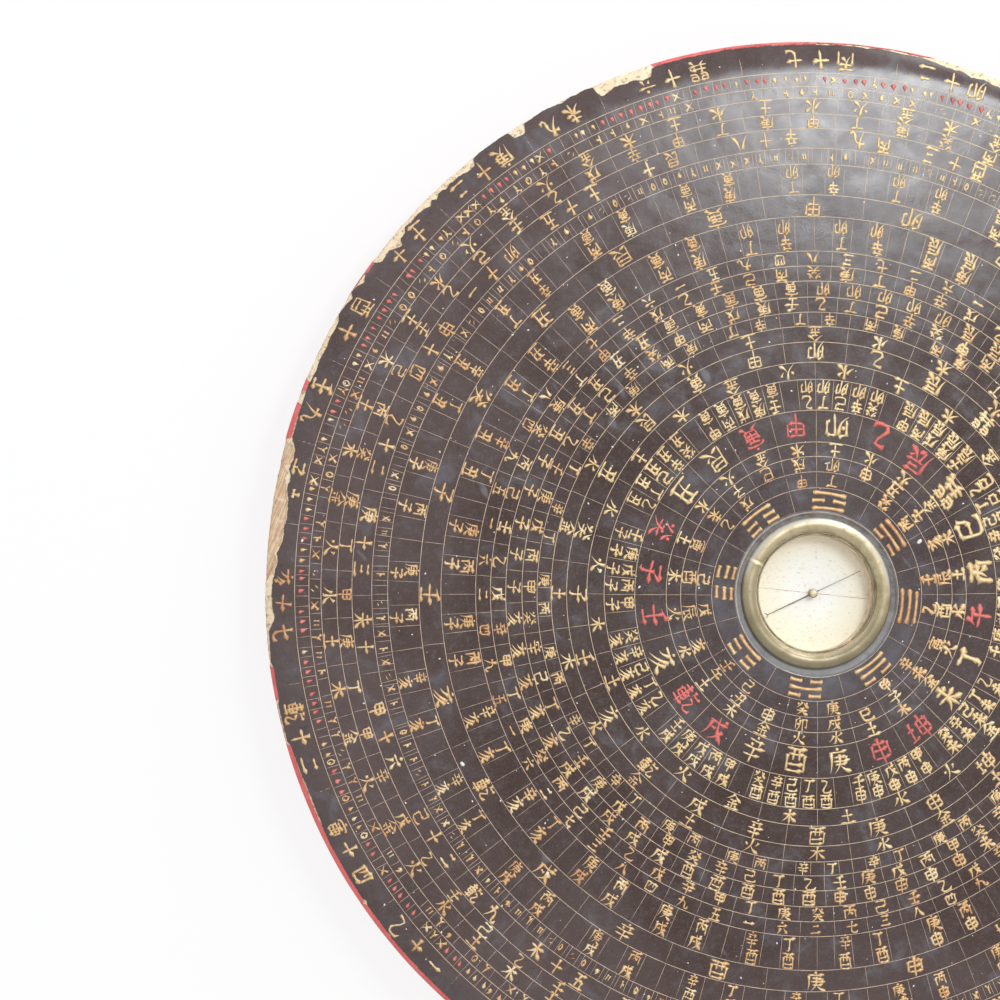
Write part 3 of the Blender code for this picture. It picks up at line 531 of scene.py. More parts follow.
def bare_wood():
    """Pale wood with slanting grain, and chalk left in patches."""
    shader = Shader("bare_wood", roughness=0.78, specular=0.3)
    streak = shader.noise(1.0 * MM, detail=5.0, rough=0.65, stretch=(7.0, 0.34, 7.0), turn=68.0)
    broad = shader.noise(1.0 * MM, detail=3.0, stretch=(22.0, 1.3, 22.0), turn=68.0)
    chalk = shader.noise(2.2 * MM, detail=5.0, rough=0.75)
    shader.colour(shader.mix(shader.span(streak, 0.34, 0.66), (0.60, 0.37, 0.22), (0.88, 0.68, 0.47)))
    shader.patches(broad, 0.54, 0.70, 0.55, (0.44, 0.25, 0.14))
    shader.patches(chalk, 0.56, 0.66, 0.8, (0.90, 0.80, 0.58))
    shader.bump(streak, 0.14 * MM, 0.8)
    return shader.material


def patinated_brass(name, clean, dull, smooth, rough, relief):
    """Brass with an olive patina, and the noise of its freckles."""
    shader = Shader(name, metallic=1.0)
    patina = shader.noise(4.5 * MM, detail=5.0, rough=0.62)
    freckle = shader.noise(0.7 * MM, detail=3.0, rough=0.6)
    shader.colour(shader.mix(shader.span(patina, 0.34, 0.68), clean, dull))
    shader.give("Roughness", shader.span(patina, 0.3, 0.7, smooth, rough))
    shader.bump(freckle, 0.03 * MM, relief)
    return shader, freckle


def aged_brass(name, clean, dull, smooth, rough):
    """Brass of the small pieces, with brown freckles."""
    shader, freckle = patinated_brass(name, clean, dull, smooth, rough, 0.5)
    shader.patches(freckle, 0.62, 0.74, 0.7, (0.10, 0.07, 0.03))
    return shader.material


def bezel_brass():
    """Bezel's brass, with painted shade on its outside towards the lower left, a painted highlight on its
    inner edge there and on its outside at the top, and pale solder in its seam."""
    shader, freckle = patinated_brass("bezel_brass", (0.48, 0.41, 0.26), (0.33, 0.275, 0.155), 0.40, 0.54,
                                      0.6)
    radius = shader.from_axis()
    lower = shader.span(shader.along(256.0), -8.0 * MM, 13.0 * MM)
    # Painted shade: the outer flank towards the lower left is darkened, where it faces away from the light.
    painted_shade = shader.times(lower, shader.span(radius, 18.4 * MM, 19.0 * MM, 0.0, 0.72))
    shader.over(painted_shade, (0.17, 0.145, 0.085))
    # Painted highlight: the inner edge is painted pale towards the lower left, where it catches the light.
    rubbed_and_highlight = shader.times(lower, shader.span(radius, 18.0 * MM, 18.5 * MM, 0.5, 0.0))
    shader.over(rubbed_and_highlight, (0.90, 0.83, 0.66))
    shader.patches(freckle, 0.60, 0.74, 0.75, (0.11, 0.08, 0.04))
    # Painted highlight: a whitish band on the outside at the top, where the light glints.
    upper = shader.span(shader.along(83.0), -1.0 * MM, 8.0 * MM)
    painted_top_highlight = shader.times(upper, shader.span(radius, 20.3 * MM, 21.4 * MM, 0.0, 0.68))
    shader.over(painted_top_highlight, (0.64, 0.62, 0.57))
    beside_seam = shader.maths("ABSOLUTE", shader.along(SEAM_ANGLE, "Y"))
    seam = shader.times(shader.span(beside_seam, 0.25 * MM, 0.6 * MM, 0.8, 0.0),
                        shader.span(shader.along(SEAM_ANGLE), 17.0 * MM, 18.0 * MM))
    shader.over(seam, (0.86, 0.72, 0.48))
    shader.give("Coat Weight", 0.7)
    shader.give("Coat Roughness", 0.28)
    return shader.material


def needle_steel():
    """Needle, blued dark on its tail half and paler towards its head."""
    shader = stained("needle_steel", 1.5 * MM, 0.4, 0.62, (0.10, 0.10, 0.085), (0.19, 0.18, 0.14),
                     metallic=0.7, roughness=0.4)
    place = shader.along(math.degrees(NEEDLE_ANGLE))
    head = shader.times(shader.span(place, 0.4 * MM, 1.6 * MM),
                        shader.span(place, 8.5 * MM, 12.0 * MM, 1.0, 0.0))
    shader.over(head, (0.34, 0.36, 0.42))
    return shader.material


def dial_paper():
    """Cream paper, foxed with grey-brown spots and stained towards the top and the right edge."""
    shader = Shader("dial_paper", roughness=0.88, specular=0.2)
    cloud = shader.noise(7 * MM, rough=0.6)
    yellowed = shader.span(shader.from_axis((0.0, 2.0 * MM)), 5.0 * MM, 15.0 * MM)
    shader.colour(shader.mix(yellowed, (0.99, 0.985, 0.94), (0.985, 0.955, 0.80)))
    top = shader.span(shader.from_axis((-2.0 * MM, -5.0 * MM)), 14.5 * MM, 22.0 * MM, 0.0, 0.30)
    shader.over(shader.times(top, shader.span(cloud, 0.3, 0.7, 0.6, 1.0)), (0.80, 0.65, 0.51))
    edge = shader.span(shader.from_axis((15.8 * MM, 1.0 * MM)), 0.5 * MM, 4.0 * MM, 0.10, 0.0)
    shader.over(shader.times(edge, shader.span(cloud, 0.35, 0.6, 0.4, 1.0)), (0.68, 0.42, 0.24))
    for size, low, share, shade in ((0.9 * MM, 0.63, 0.5, (0.50, 0.42, 0.28)),
                                    (2.1 * MM, 0.64, 0.4, (0.66, 0.56, 0.34)),
                                    (0.45 * MM, 0.67, 0.6, (0.34, 0.27, 0.19))):
        shader.patches(shader.noise(size, detail=2.0), low, low + 0.07, share, shade)
    shader.bump(shader.noise(0.25 * MM, detail=2.0), 0.02 * MM, 0.4)
    return shader.material


def clear_glass():
    """Old flat glass: mostly let through as it is, with its own faint reflection."""
    shader = Shader("old_glass", roughness=0.03)
    shader.give("Transmission Weight", 1.0)
    shader.give("IOR", 1.48)
    shader.give("Alpha", 0.17)
    wave = shader.noise(11 * MM, detail=2.0)
    shader.colour(shader.mix(wave, (0.97, 0.98, 0.96), (0.99, 0.97, 0.94)))
    shader.bump(wave, 0.03 * MM, 0.5)
    return shader.material


def speck_paint():
    """Splashes of white paint, yellowed in places."""
    shader = Shader("speck_paint", roughness=0.6)
    shader.colour(shader.mix(shader.noise(3 * MM), (0.90, 0.90, 0.88), (0.82, 0.79, 0.70)))
    return shader.material


# Mesh helpers

def add_object(name, vertices, faces, material, tones=None, smooth=True, sharp=None):
    """One object from arrays of points and lists of faces."""
    mesh = bpy.data.meshes.new(name)
    mesh.from_pydata(np.asarray(vertices).tolist(), [], faces)
    if tones is not None:
        mesh.attributes.new("tone", "FLOAT", "POINT").data.foreach_set("value", tones)
    if smooth:
        mesh.shade_smooth()
    if sharp is not None:
        mesh.set_sharp_from_angle(angle=math.radians(sharp))
    mesh.materials.append(material)
    mesh.update()
    piece = bpy.data.objects.new(name, mesh)
    bpy.context.scene.collection.objects.link(piece)
    return piece


def dress(piece, node=None, body="disc"):
    """Puts a piece on the body that it rides on, and hides the solid that it stands for."""
    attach(piece, body)
    if node is not None:
        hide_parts(node)


def ring_faces(ring_count, steps, closed):
    """Quads between rings of points, each ring closed on itself."""
    index = np.arange(steps)
    after = np.roll(index, -1)
    faces = []
    for ring in range(ring_count if closed else ring_count - 1):
        low = ring * steps
        high = ((ring + 1) % ring_count) * steps
        faces.append(np.stack([low + index, high + index, high + after, low + after], axis=1))
    return np.concatenate(faces).tolist()


def round_angles(steps):
    return np.linspace(0.0, math.tau, steps, endpoint=False)


def skin(name, rings, angles, material, closed=True, sharp=35.0):
    """Surface through rings of radii and heights. Without closed, both ends meet on the axis."""
    steps = len(angles)
    points = [np.stack(np.broadcast_arrays(radius * np.cos(angles), radius * np.sin(angles), height), axis=1)
              for radius, height in rings]
    faces = ring_faces(len(rings), steps, closed)
    if not closed:
        points.append(np.array([[0.0, 0.0, np.mean(height)] for radius, height in (rings[0], rings[-1])]))
        ends = len(rings) * steps
        last_ring = ends - steps
        faces += [(ends, step, (step + 1) % steps) for step in range(steps)]
        faces += [(ends + 1, last_ring + (step + 1) % steps, last_ring + step) for step in range(steps)]
    return add_object(name, np.concatenate(points), faces, material, sharp=sharp)


def inner_side(rings, depth):
    """The same rings moved inwards by a depth, in reverse order."""
    values = np.array(np.broadcast_arrays(*sum(rings, ())))
    radii, heights = values[0::2], values[1::2]
    run = np.gradient(radii, axis=0)
    rise = np.gradient(heights, axis=0)
    length = np.hypot(run, rise) + 1e-12
    inward = zip(radii + depth * rise / length, heights - depth * run / length)
    return list(inward)[::-1]


def ripple(angles, seed, counts, power=0.5):
    """Smooth noise round the disc, about one high, from waves of these counts a turn."""
    rng = random.Random(seed)
    total = np.zeros_like(angles)
    scale = 0.0
    for count in counts:
        height = (counts[0] / count) ** power
        total += height * np.sin(count * angles + rng.uniform(0.0, math.tau))
        scale += height * height
    return total / math.sqrt(scale)


def table_values(table, angles):
    """Metres at these angles, from a table of degrees and millimetres."""
    return np.interp(np.degrees(angles) % 360.0, *zip(*table)) * MM


# The disc's own surface

def skin_angles():
    fine = np.arange(FINE_FIRST, FINE_LAST, FINE_STEP)
    coarse = np.arange(FINE_LAST, FINE_FIRST + 360.0, COARSE_STEP)
    return np.radians(np.concatenate([fine, coarse]))


def dome_height(radius):
    """Height of the face outside the countersink."""
    height = FACE_HEIGHT - FACE_DROP * (radius / LAST_CIRCLE) ** 2
    outside = np.maximum(radius - LAST_CIRCLE, 0.0)
    return height - ROLL_DROP * (outside / RIM_WIDTH) ** 2


def swing(angles):
    return np.cos(angles - math.radians(SWING_ANGLE))


def lean_at_arris():
    """Slope of the face, as an angle, where the arris begins."""
    nominal = LAST_CIRCLE + RIM_WIDTH
    step = 0.01 * MM
    return math.atan((dome_height(nominal) - dome_height(nominal + step)) / step)


LEAN = lean_at_arris()
ARRIS_ARC = ARRIS_RADIUS * (math.pi / 2 + UNDERCUT - LEAN)


def arris_start(angles):
    edge = EDGE_RADIUS + EDGE_SWING * swing(angles) + 0.05 * MM * ripple(angles, 3, (7, 13, 29, 61))
    return edge - ARRIS_RADIUS * (1.0 - math.sin(LEAN))


def face_point(run, angles):
    """Radius and height of the surface at a run from the axis: out over the dome, round the arris
    and down the side."""
    start = arris_start(angles)
    run = np.broadcast_to(run, angles.shape)
    flat = np.minimum(run, start)
    inside = np.minimum(flat, LAST_CIRCLE)
    share = (flat - inside) / (start - LAST_CIRCLE)
    height = dome_height(inside + share * RIM_WIDTH)
    past = np.maximum(run - start, 0.0)
    bend = LEAN + np.minimum(past, ARRIS_ARC) / ARRIS_RADIUS
    down = np.maximum(past - ARRIS_ARC, 0.0)
    radius = flat + ARRIS_RADIUS * (np.sin(bend) - math.sin(LEAN)) - down * math.sin(UNDERCUT)
    height = height - ARRIS_RADIUS * (math.cos(LEAN) - np.cos(bend)) - down * math.cos(UNDERCUT)
    return radius, height


def side_run(angles, height):
    """Run at which the side has come down to a height."""
    top = dome_height(LAST_CIRCLE + RIM_WIDTH)
    top -= ARRIS_RADIUS * (math.cos(LEAN) + math.sin(UNDERCUT))
    return arris_start(angles) + ARRIS_ARC + (top - height) / math.cos(UNDERCUT)


def seam_run(angles):
    waver = 0.10 * MM * ripple(angles, 11, (5, 11, 23, 47, 90), 0.3)
    return SEAM_RADIUS + SEAM_SWING * swing(angles) + waver


def lacquer_run(angles):
    """Run at which the black lacquer ends."""
    depth = table_values(LACQUER_EDGE, angles)
    ragged = ripple(angles, 21, (180, 260, 410, 640, 900), 0.4)
    chipped = np.clip(np.abs(depth) / (0.8 * MM), 0.12, 1.0)
    nicks = np.maximum(ripple(angles, 5, (37, 71, 113, 190), 0.1) - 1.5, 0.0)
    return seam_run(angles) - depth - 0.11 * MM * ragged * chipped - 0.5 * MM * nicks


def ground_run(angles):
    """Run at which the chalk ground ends."""
    reach = table_values(GROUND_EDGE, angles)
    ragged = 0.12 * MM * ripple(angles, 31, (150, 240, 390, 620, 880), 0.3)
    return np.minimum(lacquer_run(angles) + reach + ragged, seam_run(angles) + GROUND_UNDER_RED)


def rough_ring(run, angles, depth, seed, counts, rise=1.0):
    """Ring of the surface at a run, roughened outwards and by a share of that upwards."""
    radius, height = face_point(run, angles)
    rough = depth * ripple(angles, seed, counts, 0.2)
    return radius + rough, height + rise * rough


def seat_rings(angles):
    """Floor, wall and softened lip of the countersink, from the pocket out."""
    floor = FACE_HEIGHT - SEAT_DEPTH
    lip = dome_height(SEAT_OUTER_RADIUS)
    aside = 0.8 * (INNER_SHIFT[0] * np.cos(angles) + INNER_SHIFT[1] * np.sin(angles))
    return [
        (POCKET_RADIUS, floor),
        (SEAT_RADIUS - 0.4 * MM + aside, floor),
        (SEAT_RADIUS + aside, floor + 0.12 * MM),
        (SEAT_RADIUS + 0.35 * MM + aside, floor + 0.42 * MM),
        (SEAT_OUTER_RADIUS - 0.4 * MM + aside, lip - 0.24 * MM),
        (SEAT_OUTER_RADIUS - 0.1 * MM + aside, lip - 0.05 * MM),
        (SEAT_OUTER_RADIUS + 0.15 * MM + aside, lip),
    ]


def make_face():
    """Black lacquer: one thin closed skin from the pocket out to its ragged edge."""
    angles = skin_angles()
    end = lacquer_run(angles)
    rings = seat_rings(angles)
    rings += [face_point(run, angles) for run in np.linspace(SEAT_OUTER_RADIUS + 1.5 * MM, LAST_CIRCLE, 14)]
    rings += [face_point(LAST_CIRCLE + (end - LAST_CIRCLE) * share, angles)
              for share in (0.2, 0.4, 0.6, 0.75, 0.87, 0.95, 1.0)]
    under = inner_side(rings, LACQUER)
    face = skin("face_skin", rings + under[:3] + under[3::4], angles, black_lacquer())
    dress(face, "face_lacquer")


def make_ground():
    """Chalk ground under the lacquer: rough where it is bared."""
    angles = skin_angles()
    end = ground_run(angles)
    first = LAST_CIRCLE - 1.0 * MM
    rings = [face_point(run, angles) for run in np.linspace(SEAT_OUTER_RADIUS + 1.5 * MM, first, 6)]
    rings += [rough_ring(first + (end - first) * share, angles, 0.05 * MM, 40 + number, (90, 170, 330, 600))
              for number, share in enumerate((0.3, 0.5, 0.62, 0.7, 0.76, 0.82, 0.88, 0.94, 1.0))]
    outer = inner_side(rings, LACQUER)[::-1]
    ground = skin("ground_skin", outer + inner_side(outer, GROUND)[::2], angles, chalk_ground())
    dress(ground, "ground_coat")


def underside_height(share):
    """Height of the underside at a share of the way from the foot to the side."""
    return FOOT_HEIGHT + (SIDE_BASE - FOOT_HEIGHT) * share ** UNDERSIDE_POWER


# Height at which the side runs into the lower arris
SIDE_FOOT = underside_height(0.97) + LOWER_ARRIS


def lower_rings(angles):
    """From the side's own foot, round the lower arris and in along the underside to the foot."""
    edge, foot = face_point(side_run(angles, SIDE_FOOT), angles)
    rings = []
    for degrees in (0.0, 30.0, 60.0, 85.0):
        turn = math.radians(degrees)
        rings.append((edge - LOWER_ARRIS * (1.0 - math.cos(turn)), foot - LOWER_ARRIS * math.sin(turn)))
    for share in (0.93, 0.85, 0.72, 0.58, 0.42, 0.25, 0.1, 0.0):
        rings.append((FOOT_RADIUS + (edge - FOOT_RADIUS) * share, underside_height(share)))
    rings += [(FOOT_RADIUS - 0.1 * MM, 0.15 * MM), (FOOT_RADIUS - 0.5 * MM, 0.0), (FOOT_RADIUS * 0.5, 0.0)]
    return rings


def make_rim():
    """Red lacquer over the arris, the side and the whole underside."""
    angles = skin_angles()
    missing = table_values(RED_EDGE, angles)
    ragged = ripple(angles, 51, (160, 250, 420, 700), 0.3)
    start = seam_run(angles) - 0.15 * MM + missing * (1.0 + 0.12 * ragged) + 0.04 * MM * ragged
    stop = side_run(angles, SIDE_FOOT + 0.2 * MM)
    start = np.minimum(start, stop - 0.4 * MM)
    rings = [face_point(start + (stop - start) * share, angles)
             for share in (0.0, 0.04, 0.08, 0.12, 0.16, 0.2, 0.26, 0.34, 0.5, 0.75, 1.0)]
    rings += lower_rings(angles)
    middle = [(1.0 * MM, 0.0), (1.0 * MM, RED_COAT)]
    rim = skin("rim_skin", rings + middle + inner_side(rings, RED_COAT), angles, red_lacquer())
    dress(rim, "rim_lacquer")


def make_wood():
    """Turned board with its pocket: bare at the chip, covered by the coats elsewhere."""
    angles = skin_angles()
    seam = seam_run(angles)
    below = seam + 1.2 * MM
    last = side_run(angles, SIDE_FOOT + 0.3 * MM)
    covered = (SEAT_OUTER_RADIUS + 2.0 * MM, 60 * MM, 100 * MM, 140 * MM, 152 * MM)
    surface = [face_point(run, angles) for run in covered]
    for number, run in enumerate(np.linspace(154.5 * MM, SEAM_RADIUS + 1.2 * MM, 9)):
        surface.append(rough_ring(run + seam - SEAM_RADIUS, angles, 0.09 * MM, 60 + number // 2,
                                  (70, 150, 280, 520)))
    for number, share in enumerate((0.15, 0.35, 0.55, 0.78, 1.0)):
        surface.append(rough_ring(below + (last - below) * share, angles, 0.10 * MM, 70 + number // 2,
                                  (60, 140, 260, 480), rise=0.0))
    surface += lower_rings(angles)
    rings = [(POCKET_RADIUS, POCKET_FLOOR), (POCKET_RADIUS, FACE_HEIGHT - SEAT_DEPTH - LACQUER - GROUND)]
    rings += inner_side(surface, LACQUER + GROUND - 0.1 * MM)[::-1]
    wood = skin("wood_body", rings, angles, bare_wood(), closed=False)
    dress(wood, "wood_disc")


# Painted marks and incised lines

def eased(value, low, high):
    share = np.clip((value - low) / (high - low), 0.0, 1.0)
    return share * share * (3.0 - 2.0 * share)


def hand_struck(angle, radius):
    """Where a mark of this angle and radius really lies."""
    share = np.maximum(1.0 - radius / INNER_SHIFT_REACH, 0.0)
    x = radius * np.cos(angle) + INNER_SHIFT[0] * share
    y = radius * np.sin(angle) + INNER_SHIFT[1] * share
    degrees = np.degrees(np.arctan2(y, x)) % 360.0
    rise, full, fall, end = OUTER_DRIFT_ANGLES
    drift = eased(degrees, rise, full) * (1.0 - eased(degrees, fall, end)) * eased(radius, *OUTER_DRIFT_RADII)
    return np.arctan2(y, x), np.hypot(x, y) - OUTER_DRIFT * drift


class Marks:
    """Ribbons with a ridge, and specks, gathered into one mesh that lies on the face."""

    def __init__(self):
        self.polar = []
        self.tones = []
        self.faces = []
        self.caps = []
        self.count = 0

    def add(self, points, faces, caps, tone):
        """Points by angle, radius and height above the face, with their quads and closing faces."""
        self.polar.append(points)
        self.tones.append(np.full(len(points), tone))
        self.faces.append(faces + self.count)
        self.caps += [[self.count + corner for corner in cap] for cap in caps]
        self.count += len(points)

    def ribbon(self, angle, radius, ridge, tone, closed=False):
        """Ribbon with a row for each sample and columns for its left edge, ridge and right edge."""
        angle, radius = np.broadcast_arrays(angle, radius)
        lift = np.full(angle.shape, -SUNK)
        lift[:, 1] = ridge
        points = np.stack([angle, radius, lift], axis=2).reshape(-1, 3)
        ends = () if closed else ribbon_ends(len(angle))
        self.add(points, ribbon_faces(len(angle), closed), ends, tone)

    def points(self):
        """Every point in place on the face, with the hand-struck circles' errors."""
        angle, radius, lift = np.concatenate(self.polar).T
        angle, radius = hand_struck(angle, radius)
        outer, height = face_point(radius, angle)
        return np.stack([outer * np.cos(angle), outer * np.sin(angle), height + lift], axis=1)

    def build(self, name, material):
        faces = np.concatenate(self.faces).tolist() + self.caps
        piece = add_object(name, self.points(), faces, material, tones=np.concatenate(self.tones))
        dress(piece)


def ribbon_faces(samples, closed=False):
    """Quads of one ribbon of left, middle and right points: two on top and one below."""
    start = 3 * np.arange(samples if closed else samples - 1)
    after = (start + 3) % (3 * samples)
    return np.concatenate([np.stack([start + one, start + other, after + other, after + one], axis=1)
                           for one, other in ((0, 1), (1, 2), (2, 0))])


def ribbon_ends(samples):
    """The two triangles that close a ribbon."""
    last = 3 * (samples - 1)
    return [(0, 2, 1), (last, last + 1, last + 2)]


def rounded(points, rounds=2):
    """Corner cutting that keeps the two ends."""
    for _ in range(rounds):
        cut = [points[0]]
        for before, after in zip(points, points[1:]):
            cut.append(before * 0.72 + after * 0.28)
            cut.append(before * 0.28 + after * 0.72)
        points = cut + [points[-1]]
    return np.array(points)


def resampled(points, count):
    """The same path in even steps."""
    lengths = np.concatenate([[0.0], np.cumsum(np.hypot(*np.diff(points, axis=0).T))])
    even = np.linspace(0.0, lengths[-1], count)
    return np.stack([np.interp(even, lengths, points[:, axis]) for axis in (0, 1)], axis=1)


def stroke_path(kind, points):
    """Middle of a brush stroke and its widths."""
    widths = np.array(WIDTH_PROFILES[kind])
    points = [np.array(point) for point in points]
    if len(points) == 2:
        run = points[1] - points[0]
        bow = STROKE_BOWS.get(kind, 0.0)
        middle = (points[0] + points[1]) / 2 + bow * np.array([-run[1], run[0]])
        points = [points[0], middle, points[1]]
    return resampled(rounded(points), len(widths)), widths


def read_glyph(text):
    """Strokes of one mark, from their letters and points."""
    strokes = []
    for row in text.split("/"):
        kind, *places = row.split()
        points = [tuple(float(number) for number in place.split(",")) for place in places]
        strokes.append(stroke_path(kind, points))
    return strokes


GLYPHS = {name: read_glyph(text) for name, text in STROKES.items()}


def within_lacquer(angle, radius, x, y):
    """A stroke's points drawn in to where the lacquer carries them, or None where it is chipped off."""
    edge = lacquer_run(angle + x / radius) - EDGE_MARGIN
    kept = np.flatnonzero(radius - y < edge)
    if len(kept) < 2:
        return None
    index = np.arange(len(x))
    places = np.linspace(kept[0], kept[-1], len(x))
    return np.interp(places, index, x), np.interp(places, index, y)


def add_glyph(marks, name, angle, radius, width, height, weight, tone, rng):
    """One mark, upright with its top towards the middle of the disc, drawn a little differently
    each time."""
    strokes = GLYPHS[name]
    crowding = 1.0 if len(strokes) < 7 else 0.84
    turn = rng.gauss(0.0, 0.035)
    slant = rng.gauss(0.0, 0.05)
    wide = width * rng.uniform(0.93, 1.07)
    high = height * rng.uniform(0.94, 1.06)
    weight = weight * crowding * rng.uniform(0.82, 1.16)
    shift = rng.gauss(0.0, 0.02) * width
    edge = lacquer_run(np.array([angle]))[0] - EDGE_MARGIN
    for path, widths in strokes:
        wobble = np.array([[rng.gauss(0.0, 0.16), rng.gauss(0.0, 0.16)] for _ in range(2)])
        share = np.linspace(0.0, 1.0, len(path))[:, None]
        drawn = path + wobble[0] * (1.0 - share) + wobble[1] * share
        x = (drawn[:, 0] - 5.0) / 10.0 * wide
        y = (5.0 - drawn[:, 1]) / 10.0 * high
        x, y = x + slant * y - turn * y + shift, y + turn * x
        if radius - y.min() > edge - 4.0 * MM:
            drawn_in = within_lacquer(angle, radius, x, y)
            if drawn_in is None:
                continue
            x, y = drawn_in
        direction = np.stack([np.gradient(x), np.gradient(y)])
        direction /= np.hypot(*direction) + 1e-12
        half = widths * weight * 0.5 * rng.uniform(0.9, 1.12)
        u = x[:, None] - (direction[1] * half)[:, None] * ACROSS
        v = y[:, None] + (direction[0] * half)[:, None] * ACROSS
        ridge = (0.035 + 0.09 * np.minimum(half / (0.4 * MM), 1.2)) * MM
        marks.ribbon(angle + u / radius, radius - v, ridge, tone)


def fit_glyph(marks, name, ring, degrees, fill, aspect, rng, row=0, rows=1, limit=None, tone=None):
    """A mark in a ring, in one of its rows from the inside out."""
    inner = CIRCLES[ring] * MM
    outer = CIRCLES[ring + 1] * MM
    room = (outer - inner) / rows
    full = max(0.0, math.cos(math.radians(degrees) - FULL_BRUSH_ANGLE))
    height = room * fill * (1.0 + 0.07 * full)
    width = height * aspect
    if limit is not None:
        width = min(width, math.radians(limit) * (inner + outer) / 2)
    radius = inner + room * (row + 0.5) + rng.gauss(0.0, 0.03) * room
    angle = math.radians(degrees + rng.gauss(0.0, 0.12))
    weight = (0.26 * MM + 0.092 * height) * (1.10 + 0.56 * full)
    if tone is None:
        tone = min(max(rng.gauss(0.5, 0.16), 0.0), 1.0)
    add_glyph(marks, name, angle, radius, width, height, weight, tone, rng)


def fit_pair(marks, names, ring, degrees, fills, aspect, rng, limit=None):
    """Two marks of one cell, the second outside the first."""
    for row, (name, fill) in enumerate(zip(names, fills)):
        fit_glyph(marks, name, ring, degrees, fill, aspect, rng, row, 2, limit)


def sixty_pair(number):
    """Stem and branch of a place in the round of sixty, grouped five to a branch."""
    branch, within = divmod(number, 5)
    stem = (branch % 2 + 2 * within) % 10
    return STEMS[stem], BRANCHES[branch]


def paint_points(gold, red, rng):
    """The twenty-four compass points, in the ring of large marks and in two turned rings."""
    for number, name in enumerate(POINTS):
        turned = -15 * number
        fit_glyph(red if name in RED_POINTS else gold, name, 4, 172.5 + turned, 0.84, 0.98, rng)
        fit_glyph(gold, name, 7, 180.0 + turned, 0.95, 1.05, rng)
        fit_glyph(gold, name, 15, 165.0 + turned, 0.98, 1.08, rng)


def paint_inner(gold, rng):
    """Small marks of the rings round the trigrams and just outside the large marks."""
    for number in range(24):
        degrees = 172.5 - 15 * number
        fit_glyph(gold, ELEMENTS[(2 * number + 1) % 5], 3, degrees, 1.0, 1.05, rng)
        fit_glyph(gold, BRANCHES[(5 * number + 9) % 12], 2, degrees, 1.0, 1.05, rng)
        if number % 3 != 1:
            fit_glyph(gold, STEMS[(3 * number + 5) % 10], 1, degrees, 0.9, 1.0, rng)
        fit_glyph(gold, ELEMENTS[(3 * number + 2) % 5], 6, degrees, 0.92, 1.1, rng)
        fit_glyph(gold, ELEMENTS[(number + 3) % 5], 8, degrees + 7.5, 1.0, 1.1, rng)
    for number in range(60):
        degrees = 182.5 - 30 * (number // 5) - 5 * (number % 5)
        fit_pair(gold, sixty_pair(number), 5, degrees, (0.98, 0.98), 1.0, rng, limit=4.3)


def paint_middle(gold, rng):
    """Rings of a hundred and twenty and of sixty cells."""
    fills = (0.98, 1.0)
    for number in range(24):
        start = 172.5 - 15 * number
        group = (number + 1) // 2
        branch = BRANCHES[group % 12]
        for place, stem in ((3, "丙丁"[group % 2]), (-3, "庚辛"[group % 2])):
            fit_glyph(gold, stem, 9, start + 7.5 + place, 0.96, 1.02, rng)
            fit_pair(gold, stem + branch, 14, start + place, fills, 0.92, rng)
            fit_pair(gold, stem + branch, 16, start - 7.5 + place, fills, 0.92, rng)
    for number in range(60):
        stem, branch = sixty_pair(number)
        degrees = 178.5 - 6 * number
        fit_glyph(gold, stem, 10, degrees, 1.0, 1.08, rng)
        fit_glyph(gold, branch, 11, degrees, 1.0, 1.04, rng)
        fit_glyph(gold, STEMS[(7 * number + 4) % 10], 12, degrees + 1.5, 0.98, 1.1, rng)
        fit_glyph(gold, DIGITS[(4 * number + 1) % 9], 13, degrees + 1.5, 0.9, 1.05, rng)


def number_glyphs(number):
    """A number of degrees below forty, written out."""
    tens, ones = divmod(number, 10)
    text = DIGITS[tens - 1] if tens > 1 else ""
    text += "十" if tens else ""
    return text + (DIGITS[ones - 1] if ones else "")


def uneven_cells(start, widths):
    """Number, first angle and width of each cell."""
    degrees = start
    for number, width in enumerate(widths):
        yield number, degrees, width
        degrees += width


def paint_outer(gold, rng):
    """Rings of uneven cells, each with a mark and its own width in degrees, and of sixty-four cells."""
    names = BRANCHES + STEMS + "乾坤艮巽" + ELEMENTS
    styles = ((3.35, 0.96, 5), (2.95, 0.86, 11))
    for (ring, start, widths), (spacing, fill, stride) in zip(UNEVEN_CELLS, styles):
        for number, degrees, width in uneven_cells(start, widths):
            text = names[(stride * number + 7) % len(names)] + number_glyphs(width)
            middle = degrees + width / 2
            dull = ring == RIM_RING and 172.0 < middle < 192.0
            for place, name in enumerate(text):
                offset = (place - (len(text) - 1) / 2) * min(spacing, 0.9 * width / len(text))
                tone = rng.uniform(0.0, 0.15) if dull else rng.uniform(0.25, 0.75)
                fit_glyph(gold, name, ring, middle + offset, fill, 0.92, rng, tone=tone)
    for number in range(64):
        degrees = 180.0 - 5.625 * number
        fit_glyph(gold, STEMS[(3 * number + number // 8) % 10], 19, degrees, 1.02, 1.08, rng)
        fit_glyph(gold, ELEMENTS[(number * 2 + number // 5) % 5], 20, degrees, 1.02, 1.1, rng)


